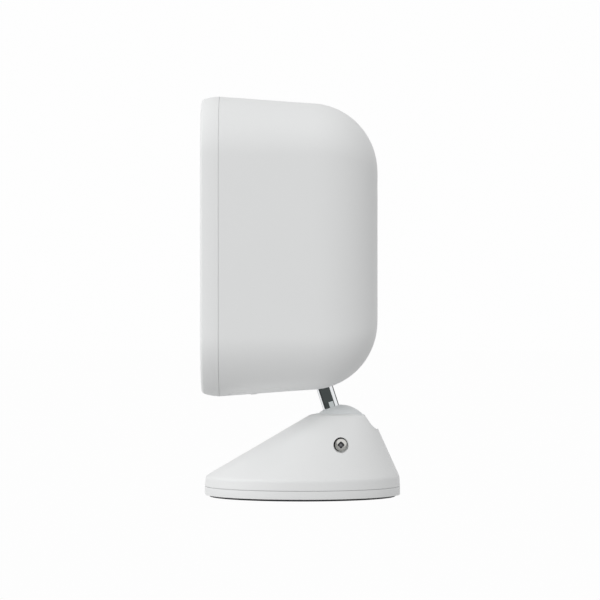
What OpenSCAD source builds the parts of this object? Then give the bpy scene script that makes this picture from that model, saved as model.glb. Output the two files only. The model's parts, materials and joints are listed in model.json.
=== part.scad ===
// Video doorbell on a ball-jointed table stand.
// A drafted camera head turns on a plated stalk, whose ball sits in a wedge base that twists onto a plate.
// Millimetres. The front faces -Y, up is +Z, and the origin is the middle of the base's underside.

/* [Head] */
// Width of the head at the seam between bezel and rear shell
head_w = 69; // [66:0.5:74]
// Height of the head at the same seam
head_h = 125; // [122:0.2:136]
// Depth of the rear shell, from the seam to the back face
shell_d = 65.9; // [64:0.1:72]
// Depth of the front bezel
bezel_d = 7.6; // [6.5:0.1:8]
// How far the bezel's sides curve in on their way to the front face
bezel_taper = 1.5; // [0.5:0.1:2]
// Edge radius round the front face
front_edge = 1.2; // [0.4:0.1:1.5]
// Draft of the rear shell's sides, in degrees
draft = 4.2; // [3:0.1:5]
// Radius that rolls the sides into the back face
back_r = 28.4; // [24:0.1:31]
// Corner radius of the outline at the seam
corner_r = 25.4; // [22:0.2:27]
// Corner radius left on the flat of the back face
back_corner_r = 2.4; // [1.2:0.2:4]
// Wall thickness of the head's mouldings
wall = 2.2; // [1.8:0.1:2.6]

/* [Front face] */
// Radius of the black camera window
window_r = 19; // [17:0.5:20]
// Height of the camera window's centre above the head's middle
window_up = 31; // [29:0.5:32]
// Thickness of the camera window
window_t = 1.2; // [1:0.1:1.5]
// Width of the motion sensor's lens
pir_w = 30; // [26:1:34]
// Height of the motion sensor's lens
pir_h = 11; // [9:0.5:12]
// Height of the motion sensor's lens above the head's middle
pir_up = 1; // [0:0.5:3]
// Radius of the bell push
button_r = 10.9; // [9:0.1:11.5]
// Radial width of the light ring round the bell push
ring_w = 2; // [1.5:0.1:2.5]
// How far the bell push sits below the head's middle
button_down = 25; // [24:0.5:27]
// Travel of the bell push
button_travel = 0.5; // [0.3:0.1:0.5]
// Radius of the loudspeaker
speaker_r = 7.2; // [6.2:0.2:8]
// Radius of each loudspeaker hole
speaker_hole_r = 0.7; // [0.5:0.1:0.9]
// Pitch of the loudspeaker holes, which stand in rings
speaker_pitch = 2.4; // [2:0.1:2.6]

/* [Battery] */
// Width of the battery pack
pack_w = 34.6; // [30:0.2:36]
// Depth of the battery pack, front to back
pack_d = 20.6; // [18:0.2:21]
// Length of the battery pack
pack_l = 58; // [50:1:59]
// How far the battery bay's middle sits behind the seam
bay_back = 16; // [15.5:0.1:17]
// How far the release tab stands proud of the battery cap
tab_proud = 0.4; // [0.2:0.1:0.6]

/* [Stand] */
// Radius of the base
base_r = 40.95; // [39:0.05:46]
// Thickness of the rubber foot pad
pad_t = 0.8; // [0.6:0.1:1.5]
// Thickness of the base plate
plate_t = 3.4; // [2.8:0.1:4]
// Height of the cover's upright skirt above the plate
skirt_h = 4.25; // [3.8:0.05:5]
// Height of the lip round the ball, above the table
rim_z = 34.8; // [34:0.1:37]
// Radius of the rim that the lip stands on
rim_r = 13.4; // [12.8:0.1:14.5]
// How far the rim falls from the lip to its edge
rim_fall = 0.7; // [0.3:0.1:1]
// Radius of the ball
ball_r = 13; // [12.6:0.1:13.2]
// Depth of the ball's centre below the lip
ball_drop = 9.4; // [9:0.1:9.8]
// How far the ball sits behind the middle of the base
ball_y = 15.9; // [15:0.1:17]
// Half width of the groove that lets the stalk lie back
groove_half_w = 8.5; // [8:0.1:9]
// How far the stalk can lie back from upright, in degrees
lie_back = 66; // [60:1:67]
// Radius of the stalk
stalk_r = 3.5; // [3:0.1:3.6]
// Forward lean of the stalk at rest, in degrees
stalk_lean = 18; // [12:1:20]
// Distance along the stalk from the ball's centre to the head's underside
stalk_reach = 21.2; // [20:0.1:26]
// How far behind the seam the stalk enters the head
entry_back = 43.8; // [43:0.1:46]

/* [Fasteners] */
// Radius of the clamp screw's thread
clamp_r = 1.25; // [1:0.05:1.5]
// Radius of the clamp screw's head
clamp_head_r = 2.5; // [2:0.1:2.8]
// Height of the clamp screw's head
clamp_head_h = 2.1; // [1.6:0.1:2.4]
// Radius of the counterbore round the clamp screw's head
clamp_bore_r = 3.15; // [2.9:0.05:3.4]
// Height of the clamp screw's axis below the ball's centre
clamp_drop = 3; // [2:0.2:4]
// Radius of the wall screw holes in the base plate
wall_hole_r = 2.25; // [2:0.05:2.6]
// Pitch circle radius of the wall screw holes
wall_hole_pcr = 25; // [22:0.5:28]

/* [Hidden] */

WHITE = [0.93, 0.93, 0.93];
BLACK = [0.06, 0.06, 0.07];
BOARD = [0.05, 0.30, 0.16];
CHROME = [0.80, 0.81, 0.83];
STEEL = [0.62, 0.63, 0.65];
BRASS = [0.78, 0.62, 0.32];
RUBBER = [0.16, 0.16, 0.17];

eps = 0.01;             // overlap that keeps cuts clean
run_gap = 0.05;         // radial running clearance
fit_gap = 0.15;         // clearance between parts that drop together
free_gap = 0.4;         // clearance round a part that sweeps past another

// The ball and the stalk's line
ball_z = rim_z - ball_drop;
mouth_r = sqrt(ball_r * ball_r - ball_drop * ball_drop) + run_gap;
entry_y = ball_y - stalk_reach * sin(stalk_lean);
entry_z = ball_z + stalk_reach * cos(stalk_lean);

// The head hangs on the stalk's line
seam_y = entry_y - entry_back;
front_y = seam_y - bezel_d;
arc_start = shell_d - back_r;
arc_inset = arc_start * tan(draft);
mid_z = entry_z + head_h / 2 - inset_at(entry_back);
window_z = mid_z + window_up;
pir_z = mid_z + pir_up;
button_board_r = button_r + 2.5;
ring_flange_r = button_r + ring_w + 2;
speaker_rib_r = speaker_r + fit_gap + 0.8;
face_low = mid_z - head_h / 2 + wall + bezel_taper;
button_z = max(mid_z - button_down, face_low + 2 * speaker_rib_r + free_gap + ring_flange_r);
speaker_z = (button_z - ring_flange_r + face_low) / 2;
pir_flange = 1.5;
boot_w = 6.4;
boot_h = 5.2;
mic_w = 4;
mic_h = 3;
mic_x = (pir_w + boot_w) / 2 + pir_flange + free_gap;

// Depths of the layers behind the front face
face_t = wall;
face_y = front_y + face_t;
chassis_t = 1.6;
chassis_y = seam_y + 1.4;
chassis_back = chassis_y + chassis_t;
chassis_inset = wall + 0.7;
tongue_l = 2;
tongue_t = 1;
gasket_t = 0.8;
screw_r = 1;
screw_head_r = 2;
screw_head_h = 1.4;
boss_r = 2.6;
chassis_screw_x = head_w / 2 - 7.5;
chassis_screw_up = 14;
chassis_screw_down = 36;
chassis_screw_at = [for (x = [-1, 1], z = [chassis_screw_up, -chassis_screw_down]) [x * chassis_screw_x, z]];
barrel_sq = 15;
camera_board_w = 25;
camera_board_y = chassis_y + 4.2;
camera_post_at = camera_board_w / 2 - 1.9;
board_t = 1;
ir_board_r = 15.6;

// Battery bay, measured from the seam
bay_y = seam_y + bay_back;
bay_lip = 1.7;
cap_w = pack_w + 2 * bay_lip;
cap_d = pack_d + 2 * bay_lip;
cap_r = 5;
cap_top = mid_z - head_h / 2 + 7;
cap_wall = 2.4;
plug_h = 2;
cap_gasket_t = 0.4;
pack_z = cap_top + plug_h;
pack_gap = 0.4;
sleeve_t = 1.4;
sleeve_top = pack_z + pack_l + 3.4;
tab_l = 6.7;
tab_w = 13;
tab_y = bay_y - 4;
tab_pocket_h = 3.2;
contact_pitch = 5;
contact_r = 1;
contact_block_w = 16;
contact_block_d = 6;

// Main board, above the battery's sleeve and behind the camera
board_margin = 8.5;
board_w = head_w - 17;
board_r = 12;
board_low = sleeve_top + 0.7;
board_high = mid_z + head_h / 2 - board_margin;
board_z = (board_low + board_high) / 2;
board_y = chassis_back + 7.6;
board_back = board_y + 1.2;
post_r = 2;
post_x = board_w / 2 - 2 * post_r;
post_up = (board_high - board_low) / 2 - 3 * post_r;
shield_w = 30;
shield_d = 24;
shield_h = 3;
shield_t = 0.3;
shield_z = board_low + 2.2 + shield_d / 2;
antenna_w = 24;
antenna_tooth = 3.6;
antenna_line = 1.2;
antenna_z = board_high - 1 - antenna_line / 2;

// Swivel inside the head, measured along the stalk from the ball's centre
journal_r = stalk_r - 0.5;
shoulder_s = stalk_reach + 2.9;
bush_r = journal_r + 2;
bush_l = 8.5;
clip_t = 0.8;
washer_t = 0.5;
boss_l = 2.4 + bush_l;

// Twist lock between the cover and the base plate
lock_ring_r = base_r - 5.1;
lock_ring_t = 1.7;
lock_ring_h = 2.8;
lock_tab_t = 1.1;
lock_tab_w = 2;
lock_lug_t = 0.8;
lock_count = 3;
lock_tab_angle = 26;
lock_lug_angle = 20;
lock_stop_angle = 2.5;
lock_gap_angle = 3;

// Stand heights
plate_z = pad_t + plate_t;
cover_z = plate_z + 0.1;
shoulder_z = plate_z + skirt_h;
cover_wall = 2.3;
cup_r = ball_r + 2.6;
collar_r = cup_r + 1.8;
cup_top = ball_z - 0.8;
cup_z = ball_z - ball_r;
cup_hole_r = 7;
spring_h = 2.3;
retainer_z = cup_z - spring_h - 2 * run_gap;
retainer_t = 2;
retainer_screw_r = collar_r + 3.1;
retainer_clear = lock_ring_r - lock_ring_t - screw_head_r - 1.4;
retainer_a = asin((pow(retainer_clear, 2) - pow(ball_y, 2) - pow(retainer_screw_r, 2))
  / (2 * ball_y * retainer_screw_r));
retainer_screw_at = [-35, retainer_a, 180 - retainer_a, 215];
clamp_z = ball_z - clamp_drop;
clamp_seat = cup_r + 5.7;
clamp_tip = collar_r + 0.6;
nut_w = 5;
nut_t = 1.6;
nut_x = clamp_seat - 3.2;
shoe_r = 2.6;
recess_r = 1.45;
recess_w = 0.75;
recess_depth = 1.2;
rib_t = 1.6;
cup_slot = 1;
plate_floor = 2.1;
plate_edge = 0.2;
plate_rib_t = 1.4;
hub_r = 10;

// How far the head's outline has pulled in at a depth behind the seam
function inset_at(d) = d <= arc_start ? d * tan(draft)
  : arc_inset + back_r * (1 - sqrt(1 - pow((d - arc_start) / back_r, 2)));

// How far the bezel's outline has curved in at a depth in front of the seam
function pull_at(d) = bezel_taper * pow(d / bezel_d, 2);

// ---------- building blocks ----------

// Rounded rectangle with true arcs
module rounded_rect(w, h, r) {
  square([w - 2 * r, h], center = true);
  square([w, h - 2 * r], center = true);
  for (x = [-1, 1], y = [-1, 1]) translate([x * (w / 2 - r), y * (h / 2 - r)]) circle(r, $fn = 64);
}

// Extrudes a front-view outline backwards from a depth y
module behind(y, depth) translate([0, y + depth, 0]) rotate([90, 0, 0]) linear_extrude(depth) children();

// Cylinder along Y that starts at depth y
module disc(x, z, y, depth, r, r2 = 0)
  translate([x, y, z]) rotate([-90, 0, 0]) cylinder(h = depth, r1 = r, r2 = r2 > 0 ? r2 : r, $fn = 64);

// Moves its children to the ball, with +Z up the stalk
module on_stalk(s = 0)
  translate([0, ball_y, ball_z]) rotate([stalk_lean, 0, 0]) translate([0, 0, s]) children();

// Holes in rings round a centre, one pitch apart
module ring_of_holes(x, z, y, depth, r, pitch, rings) for (k = [0:rings], i = [0:max(6 * k - 1, 0)])
  disc(x + k * pitch * cos(60 * i / max(k, 1)), z + k * pitch * sin(60 * i / max(k, 1)), y, depth, r);

module ring(r_in, r_out, h) difference() {
  cylinder(h = h, r = r_out, $fn = 64);
  translate([0, 0, -eps]) cylinder(h = h + 2 * eps, r = r_in, $fn = 64);
}

// Thin slice of the head at a depth behind the seam
module slice(d, w, h, r) translate([0, 0, mid_z]) behind(seam_y + d, eps) rounded_rect(w, h, r);

// The rear shell's outer form, or its cavity when inset by the wall
module head_form(inset = 0, lead = 0) {
  steps = 9;
  r_end = max(back_corner_r - inset, 0.6);
  roll = back_r - inset;
  w0 = head_w / 2 - arc_inset - inset;
  roll_w = min(roll, w0 - r_end);
  h0 = head_h / 2 - arc_inset - inset;
  r0 = corner_r - arc_inset - inset;
  hull() {
    slice(-lead, head_w - 2 * inset, head_h - 2 * inset, corner_r - inset);
    for (i = [0:steps]) {
      a = draft + (90 - draft) * i / steps;
      k = 1 - cos(a);
      slice(arc_start + roll * sin(a) - eps, 2 * (w0 - roll_w * k), 2 * (h0 - roll * k), r0 + (r_end - r0) * k);
    }
  }
}

// Thin slice of the bezel at a depth in front of the seam, pulled in from the seam's outline
module bezel_slice(d, pull) slice(-d, head_w - 2 * pull, head_h - 2 * pull, corner_r - pull);

// The bezel's outer form: sides that curve in, then the edge round the face
module bezel_form() hull() {
  edge_d = bezel_d - front_edge;
  bezel_slice(0.1, 0);
  for (t = [1:3]) bezel_slice(edge_d * t / 4, pull_at(edge_d * t / 4));
  for (a = [0:22.5:90])
    bezel_slice(edge_d + front_edge * sin(a),
      pull_at(edge_d + front_edge * sin(a)) + front_edge * (1 - cos(a)));
}

// Outline of the head at the seam, inset by a distance
module seam_outline(inset)
  translate([0, mid_z]) rounded_rect(head_w - 2 * inset, head_h - 2 * inset, corner_r - inset);

// Column through the battery bay
module bay_column(w, d, r, z0, z1) translate([0, bay_y, z0]) linear_extrude(z1 - z0) rounded_rect(w, d, r);

// Pan-head screw pointing up +Z from the underside of its head
module pan_screw(r, head_r, head_h, length) {
  cylinder(h = length, r = r, $fn = 32);
  difference() {
    translate([0, 0, -head_h]) cylinder(h = head_h, r1 = head_r * 0.82, r2 = head_r, $fn = 48);
    for (a = [0, 90]) rotate(a) translate([0, 0, -head_h])
      cube([head_r * 1.3, head_r * 0.28, head_h], center = true);
  }
}

// ---------- head: housing ----------

module front_bezel() color(WHITE) difference() {
  union() {
    difference() {
      bezel_form();
      behind(face_y, bezel_d) seam_outline(wall + bezel_taper);
    }
    difference() {
      behind(seam_y - 1.5, tongue_l + 1.5) seam_outline(wall - tongue_t);
      behind(seam_y - 2, tongue_l + 3) seam_outline(wall);
    }
    for (p = chassis_screw_at) disc(p[0], mid_z + p[1], face_y - eps, chassis_y - face_y, boss_r);
    translate([0, face_y - eps, speaker_z]) rotate([-90, 0, 0])
      ring(speaker_r + fit_gap, speaker_rib_r, 2);
  }
  disc(0, window_z, front_y - 1, 1 + window_t + 0.1, window_r + run_gap);
  disc(0, window_z, front_y, face_t + 1, window_r - 2.5);
  behind(front_y - 1, face_t + 2) translate([0, pir_z]) rounded_rect(pir_w, pir_h, pir_h / 2 - eps);
  disc(0, button_z, front_y - 1, face_t + 2, button_r + fit_gap * 2 + ring_w);
  ring_of_holes(0, speaker_z, front_y - 1, face_t + 2, speaker_hole_r, speaker_pitch, 2);
  disc(mic_x, pir_z, front_y - 1, face_t + 2, 0.5);
  for (p = chassis_screw_at) disc(p[0], mid_z + p[1], chassis_y - 5, 6, screw_r * 0.9);
}

module rear_shell() color(WHITE) difference() {
  head_form();
  difference() {
    head_form(wall, 2);
    on_stalk(stalk_reach - 4) cylinder(h = boss_l + 4, r = bush_r + 2.2, $fn = 64);
  }
  behind(seam_y - 1, 1 + tongue_l + gasket_t + 0.1) seam_outline(wall - tongue_t - fit_gap);
  bay_column(cap_w + 2 * fit_gap, cap_d + 2 * fit_gap, cap_r + fit_gap, mid_z - head_h, cap_top + 1);
  on_stalk(stalk_reach - 6) cylinder(h = 10, r = stalk_r + free_gap, $fn = 64);
  on_stalk(shoulder_s) cylinder(h = boss_l + 2, r = bush_r, $fn = 64);
}

module housing_gasket() color(RUBBER) difference() {
  behind(seam_y + tongue_l, gasket_t) seam_outline(wall - tongue_t);
  behind(seam_y + tongue_l - 1, gasket_t + 2) seam_outline(wall);
}

// ---------- head: camera ----------

module camera_window() color(BLACK) disc(0, window_z, front_y + 0.1, window_t, window_r);

module lens_barrel() color(BLACK) difference() {
  union() {
    disc(0, window_z, front_y + 3, chassis_y - front_y - 3, 6.2);
    disc(0, window_z, front_y + 2, 1 + eps, 5.6);
    behind(chassis_y - eps, 4.2) translate([0, window_z]) square(barrel_sq, center = true);
  }
  disc(0, window_z, front_y + 1, 2.6, 4.2, 3);
  disc(0, window_z, front_y + 3, 12, 2.9);
}

module lens_element() color([0.25, 0.3, 0.4, 0.5]) intersection() {
  disc(0, window_z, front_y + 3.7, 3, 2.9);
  translate([0, front_y + 8.2, window_z]) sphere(4.5, $fn = 64);
}

module lens_shroud() color(RUBBER)
  translate([0, front_y + 0.1 + window_t, window_z]) rotate([-90, 0, 0]) ring(6.4, 7.6, 4);

module camera_board() color(BOARD) {
  behind(camera_board_y, board_t) translate([0, window_z]) rounded_rect(camera_board_w, camera_board_w, 1.5);
  behind(camera_board_y + board_t - eps, 1.4) translate([0, window_z]) {
    translate([0, -8]) square([9, 3], center = true);
    translate([-5, 5]) square(4.5, center = true);
    translate([5, 4]) square([2.5, 2], center = true);
  }
}

module infrared_board() color(BOARD)
  translate([0, chassis_y - 3, window_z]) rotate([-90, 0, 0]) ring(8, ir_board_r, 0.8);

module infrared_leds() color([0.30, 0.24, 0.30])
  for (i = [0:5]) rotate_about_window(30 + 60 * i) {
    disc(11.8, window_z, chassis_y - 4, 1, 1.5);
    translate([11.8, chassis_y - 4, window_z]) sphere(1, $fn = 32);
  }

module rotate_about_window(a)
  translate([0, 0, window_z]) rotate([0, a, 0]) translate([0, 0, -window_z]) children();

// ---------- head: motion sensor and boards ----------

module pir_lens() color([0.95, 0.95, 0.95]) {
  behind(front_y + 0.1, face_t - 0.1) translate([0, pir_z])
    rounded_rect(pir_w - 2 * fit_gap, pir_h - 2 * fit_gap, pir_h / 2 - fit_gap - eps);
  behind(face_y, 0.8) translate([0, pir_z])
    rounded_rect(pir_w + 2 * pir_flange, pir_h + 2 * pir_flange, pir_h / 2 + 1);
}

module pir_sensor() color(STEEL) {
  disc(0, pir_z, chassis_y - 3.4, 3.4, 4.1);
  disc(0, pir_z, chassis_y - 0.5, 0.5, 4.6);
}

module main_board() color(BOARD) {
  behind(board_y, board_back - board_y)
    translate([0, board_z]) rounded_rect(board_w, board_high - board_low, board_r);
  for (x = [-1, 1]) {
    behind(board_back - eps, 2.8)
      translate([x * (shield_w / 2 + 4), board_low + 9]) square([3.6, 8], center = true);
    disc(x * (shield_w / 2 + 4), board_low + 18, board_back - eps, 2, 1.8);
  }
}

module shield_can() color(STEEL) difference() {
  behind(board_back, shield_h) translate([0, shield_z]) rounded_rect(shield_w, shield_d, 1);
  behind(board_back - 1, 1 + shield_h - shield_t) translate([0, shield_z])
    rounded_rect(shield_w - 2 * shield_t, shield_d - 2 * shield_t, 1 - shield_t);
}

module antenna() color(BRASS) behind(board_back, 0.3) translate([0, antenna_z]) {
  square([antenna_w, antenna_line], center = true);
  for (i = [-3:3])
    translate([i * antenna_tooth, -antenna_tooth / 2]) square([antenna_line, antenna_tooth], center = true);
}

// ---------- head: sound ----------

module microphone() color(STEEL)
  behind(face_y + 0.6, 1.1) translate([mic_x, pir_z]) square([mic_w, mic_h], center = true);

module microphone_boot() color(RUBBER) difference() {
  behind(face_y, 2.2) translate([mic_x, pir_z]) rounded_rect(boot_w, boot_h, 1);
  behind(face_y + 0.6, 3) translate([mic_x, pir_z]) square([mic_w, mic_h], center = true);
  disc(mic_x, pir_z, face_y - 1, 3, 0.5);
}

// Basket, surround, cone and dust cap turned in one piece
module loudspeaker() color(BLACK) {
  magnet_r = speaker_r * 0.65;
  back = chassis_y - face_y - 0.5;
  translate([0, face_y + 0.5, speaker_z]) rotate([-90, 0, 0]) rotate_extrude($fn = 96) polygon([
    [0, 0.9], [1.2, 1.1], [1.9, 2], [speaker_r - 2, 0.9], [speaker_r - 1.5, 0.4], [speaker_r - 1, 0.9],
    [speaker_r - 0.8, 0], [speaker_r, 0], [speaker_r, 1.4], [magnet_r, 2.8], [magnet_r, back], [0, back]
  ]);
}

module loudspeaker_gasket() color(RUBBER)
  translate([0, face_y, speaker_z]) rotate([-90, 0, 0]) ring(speaker_r - 0.8, speaker_r, 0.5);

// ---------- head: bell push ----------

module button_cap() color(WHITE) {
  difference() {
    disc(0, button_z, front_y + 0.1, face_t + 0.9, button_r);
    disc(0, button_z, front_y + 1.6, face_t + 2, button_r - 1.6);
  }
  translate([0, face_y + 1, button_z]) rotate([-90, 0, 0]) ring(button_r - 1.6, button_r + ring_w - 0.5, 0.6);
  disc(0, button_z, front_y + 1.5, face_t + 0.3, 3);
}

module light_ring() color([0.85, 0.92, 0.98]) translate([0, front_y + 0.1, button_z]) rotate([-90, 0, 0]) {
  ring(button_r + fit_gap, button_r + fit_gap + ring_w, face_t + 0.8);
  translate([0, 0, face_t - 0.1]) ring(button_r + fit_gap + ring_w - eps, ring_flange_r, 0.9);
}

module button_board() color(BOARD) disc(0, button_z, chassis_y - 2.4, board_t, button_board_r);

module button_switch() color(BLACK) {
  behind(chassis_y - 3, 0.6) translate([0, button_z]) square(5.2, center = true);
  disc(0, button_z, chassis_y - 3.4, 0.5, 1.7);
}

// ---------- head: chassis and battery ----------

module chassis() color([0.25, 0.26, 0.27]) difference() {
  union() {
    behind(chassis_y, chassis_t) seam_outline(chassis_inset);
    bay_column(pack_w + 2 * (pack_gap + sleeve_t), pack_d + 2 * (pack_gap + sleeve_t), cap_r,
      cap_top + cap_gasket_t + run_gap, sleeve_top);
    behind(chassis_back - eps, bay_y - chassis_back) translate([0, (cap_top + sleeve_top) / 2 + 1])
      for (x = [-1, 1]) translate([x * pack_w * 0.4, 0]) square([1.4, sleeve_top - cap_top - 4], center = true);
    translate([0, chassis_y - 2.2, window_z]) rotate([-90, 0, 0]) ring(ir_board_r - 3, ir_board_r, 2.2 + eps);
    translate([0, chassis_y - 1.4, button_z]) rotate([-90, 0, 0])
      ring(button_board_r - 2.5, button_board_r, 1.4 + eps);
    for (x = [-1, 1], z = [-1, 1]) {
      disc(x * camera_post_at, window_z + z * camera_post_at, chassis_back - eps,
        camera_board_y - chassis_back + eps, 1.5);
      disc(x * post_x, board_z + z * post_up, chassis_back - eps, board_y - chassis_back + eps, post_r);
    }
  }
  bay_column(pack_w + 2 * pack_gap, pack_d + 2 * pack_gap, cap_r - 1, cap_top, pack_z + pack_l + 0.4);
  behind(chassis_y - 3, 8) translate([0, window_z]) square(barrel_sq + 2 * fit_gap + 0.3, center = true);
  for (p = chassis_screw_at) disc(p[0], mid_z + p[1], chassis_y - 1, 4, screw_r + fit_gap);
  translate([0, bay_y, sleeve_top - 5]) linear_extrude(6)
    square([contact_block_w + 0.2, contact_block_d + 0.2], center = true);
}

module chassis_screws() color(STEEL) for (p = chassis_screw_at)
  translate([p[0], chassis_back, mid_z + p[1]]) rotate([90, 0, 0])
    pan_screw(screw_r * 0.9, screw_head_r, screw_head_h, 6);

module battery_contacts() color(BRASS) translate([0, bay_y, pack_z + pack_l + 0.1]) {
  translate([0, 0, 0.9]) linear_extrude(2.4) square([contact_block_w, contact_block_d], center = true);
  for (x = [-1:1]) translate([x * contact_pitch, 0, 0]) cylinder(h = 1, r = contact_r, $fn = 32);
}

// Moulded ends with the wrap drawn in between them, and contact wells on top
module battery_pack() color([0.20, 0.21, 0.23]) difference() {
  union() {
    bay_column(pack_w, pack_d, cap_r - 1.4, pack_z, pack_z + 5);
    bay_column(pack_w - 0.6, pack_d - 0.6, cap_r - 1.7, pack_z + 1, pack_z + pack_l - 1);
    bay_column(pack_w, pack_d, cap_r - 1.4, pack_z + pack_l - 5, pack_z + pack_l);
  }
  for (x = [-1:1]) translate([x * contact_pitch, bay_y, pack_z + pack_l - 0.4])
    cylinder(h = 1, r = contact_r + 0.4, $fn = 32);
}

module battery_cap() color(WHITE) difference() {
  union() {
    intersection() {
      head_form();
      bay_column(cap_w, cap_d, cap_r, mid_z - head_h, cap_top);
    }
    bay_column(pack_w, pack_d, cap_r - 1.4, cap_top - 1, pack_z);
  }
  translate([0, tab_y, mid_z - head_h / 2])
    cube([tab_w + 2 * fit_gap, tab_l + 2 * fit_gap, 2 * tab_pocket_h], center = true);
  difference() {
    bay_column(pack_w - 2 * cap_wall, pack_d - 2 * cap_wall, cap_r - 2.4, cap_top - 2.6, pack_z + 1);
    for (x = [-1, 1]) translate([x * pack_w / 6, bay_y, cap_top]) cube([1.2, pack_d, 12], center = true);
  }
}

module battery_cap_gasket() color(RUBBER) difference() {
  bay_column(cap_w, cap_d, cap_r, cap_top, cap_top + cap_gasket_t);
  bay_column(pack_w, pack_d, cap_r - 1.4, cap_top - 1, cap_top + 1);
}

// Thumb tab with grooves across its underside
module release_tab() color(WHITE) {
  z = mid_z - head_h / 2 + inset_at(tab_y - seam_y);
  difference() {
    translate([0, tab_y, z - tab_proud]) linear_extrude(1.7) rounded_rect(tab_w, tab_l, 1.2);
    for (i = [-1.5:1.5]) translate([0, tab_y + i * tab_l / 5, z - tab_proud])
      cube([tab_w - 3, 0.6, 0.6], center = true);
  }
}

// ---------- swivel and ball ----------

module stalk_bush() color(BRASS) on_stalk(shoulder_s + run_gap) ring(journal_r + run_gap, bush_r, bush_l);

module swivel_washer() color(STEEL)
  on_stalk(shoulder_s + bush_l + 2 * run_gap) ring(journal_r, bush_r - 0.3, washer_t);

module stalk_clip() color(STEEL) on_stalk(shoulder_s + bush_l + washer_t + 2 * run_gap) difference() {
  ring(journal_r - 0.4, bush_r - 0.4, clip_t);
  translate([-1.2, 0, -1]) cube([2.4, bush_r, clip_t + 2]);
}

module stalk() color(CHROME) difference() {
  on_stalk() {
    translate([0, 0, ball_r * 0.35]) cylinder(h = shoulder_s - ball_r * 0.35, r = stalk_r, $fn = 64);
    cylinder(h = shoulder_s + bush_l + washer_t + clip_t + 1.4, r = journal_r, $fn = 64);
  }
  on_stalk() translate([0, 0, -eps]) cylinder(h = ball_r * 0.35 + eps, r = journal_r + 1, $fn = 64);
  on_stalk(shoulder_s + bush_l + washer_t + 2 * run_gap) ring(journal_r - 0.4, journal_r + 1, clip_t);
}

module ball() color(WHITE) difference() {
  translate([0, ball_y, ball_z]) rotate([stalk_lean, 0, 0]) sphere(ball_r, $fn = 96);
  on_stalk(ball_r * 0.35) cylinder(h = ball_r, r = stalk_r, $fn = 64);
}

module ball_cup() color([0.30, 0.31, 0.33]) translate([0, ball_y, 0]) difference() {
  translate([0, 0, cup_z]) cylinder(h = cup_top - cup_z, r = cup_r, $fn = 96);
  translate([0, 0, ball_z]) sphere(ball_r + run_gap, $fn = 96);
  translate([0, 0, cup_z - 1]) cylinder(h = 4, r = cup_hole_r, $fn = 64);
  for (a = [45, 135]) rotate(a) translate([0, 0, cup_top]) cube([2 * cup_r + 2, cup_slot, 13], center = true);
}

module cup_spring() color(STEEL) translate([0, ball_y, retainer_z + run_gap]) rotate_extrude($fn = 96)
  polygon([[9, spring_h - 0.5], [cup_r - 1, 0], [cup_r - 0.6, 0.3], [9.2, spring_h], [9, spring_h]]);

module cup_retainer() color([0.30, 0.31, 0.33]) translate([0, ball_y, retainer_z - retainer_t]) difference() {
  union() {
    cylinder(h = retainer_t, r = collar_r, $fn = 96);
    for (a = retainer_screw_at) rotate(a) {
      translate([retainer_screw_r, 0, 0]) cylinder(h = retainer_t, r = 3.2, $fn = 48);
      translate([collar_r - 3, -3.2, 0]) cube([retainer_screw_r - collar_r + 3, 6.4, retainer_t]);
    }
  }
  translate([0, 0, -1]) cylinder(h = retainer_t + 2, r = cup_hole_r + 1, $fn = 64);
  for (a = retainer_screw_at) rotate(a) translate([retainer_screw_r, 0, -1])
    cylinder(h = retainer_t + 2, r = screw_r + fit_gap, $fn = 32);
}

module retainer_screws() color(STEEL) translate([0, ball_y, retainer_z - retainer_t])
  for (a = retainer_screw_at) rotate(a) translate([retainer_screw_r, 0, 0])
    pan_screw(screw_r * 0.9, screw_head_r, screw_head_h, 7);

// ---------- clamp ----------

// Moves its children onto the clamp screw's axis, with +Z pointing out of the cover
module on_clamp(x) translate([x, ball_y, clamp_z]) rotate([0, 90, 0]) children();

module clamp_screw() color(CHROME) on_clamp(clamp_seat) {
  translate([0, 0, clamp_tip - clamp_seat]) cylinder(h = clamp_seat - clamp_tip + eps, r = clamp_r, $fn = 48);
  difference() {
    intersection() {
      cylinder(h = clamp_head_h, r = clamp_head_r, $fn = 64);
      translate([0, 0, clamp_head_h - 4.4]) sphere(4.4, $fn = 64);
    }
    for (a = [0, 90]) rotate([90, 0, a]) linear_extrude(recess_w, center = true) polygon([
      [-recess_r, clamp_head_h + 0.3], [recess_r, clamp_head_h + 0.3],
      [recess_r * 0.65, clamp_head_h - recess_depth], [-recess_r * 0.65, clamp_head_h - recess_depth]
    ]);
    translate([0, 0, clamp_head_h - recess_depth - 0.3])
      cylinder(h = recess_depth + 0.4, r1 = 0.2, r2 = recess_r * 0.65, $fn = 48);
  }
}

module clamp_nut() color(STEEL) on_clamp(nut_x) difference() {
  translate([-nut_w / 2, -nut_w / 2, 0]) cube([nut_w, nut_w, nut_t]);
  translate([0, 0, -1]) cylinder(h = nut_t + 2, r = clamp_r + run_gap, $fn = 48);
}

module brake_shoe() color([0.30, 0.31, 0.33]) difference() {
  on_clamp(cup_r - 1) cylinder(h = collar_r - cup_r + 1, r = shoe_r, $fn = 48);
  translate([0, ball_y, clamp_z - 5]) cylinder(h = 10, r = cup_r + 2 * run_gap, $fn = 96);
}

// ---------- base ----------

module cover_form() hull() {
  translate([0, 0, cover_z])
    cylinder(h = shoulder_z - cover_z - 0.8, r1 = base_r, r2 = base_r - 0.25, $fn = 144);
  translate([0, 0, shoulder_z - 0.3]) cylinder(h = eps, r = base_r - 0.4, $fn = 144);
  translate([0, 0, shoulder_z]) cylinder(h = eps, r = base_r - 0.75, $fn = 144);
  translate([0, ball_y, rim_z - rim_fall - 0.35]) cylinder(h = eps, r = rim_r, $fn = 96);
  translate([0, ball_y, rim_z - rim_fall]) cylinder(h = eps, r = rim_r - 0.55, $fn = 96);
  translate([0, ball_y, rim_z - eps]) cylinder(h = eps, r = mouth_r + 0.3, $fn = 96);
}

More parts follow.
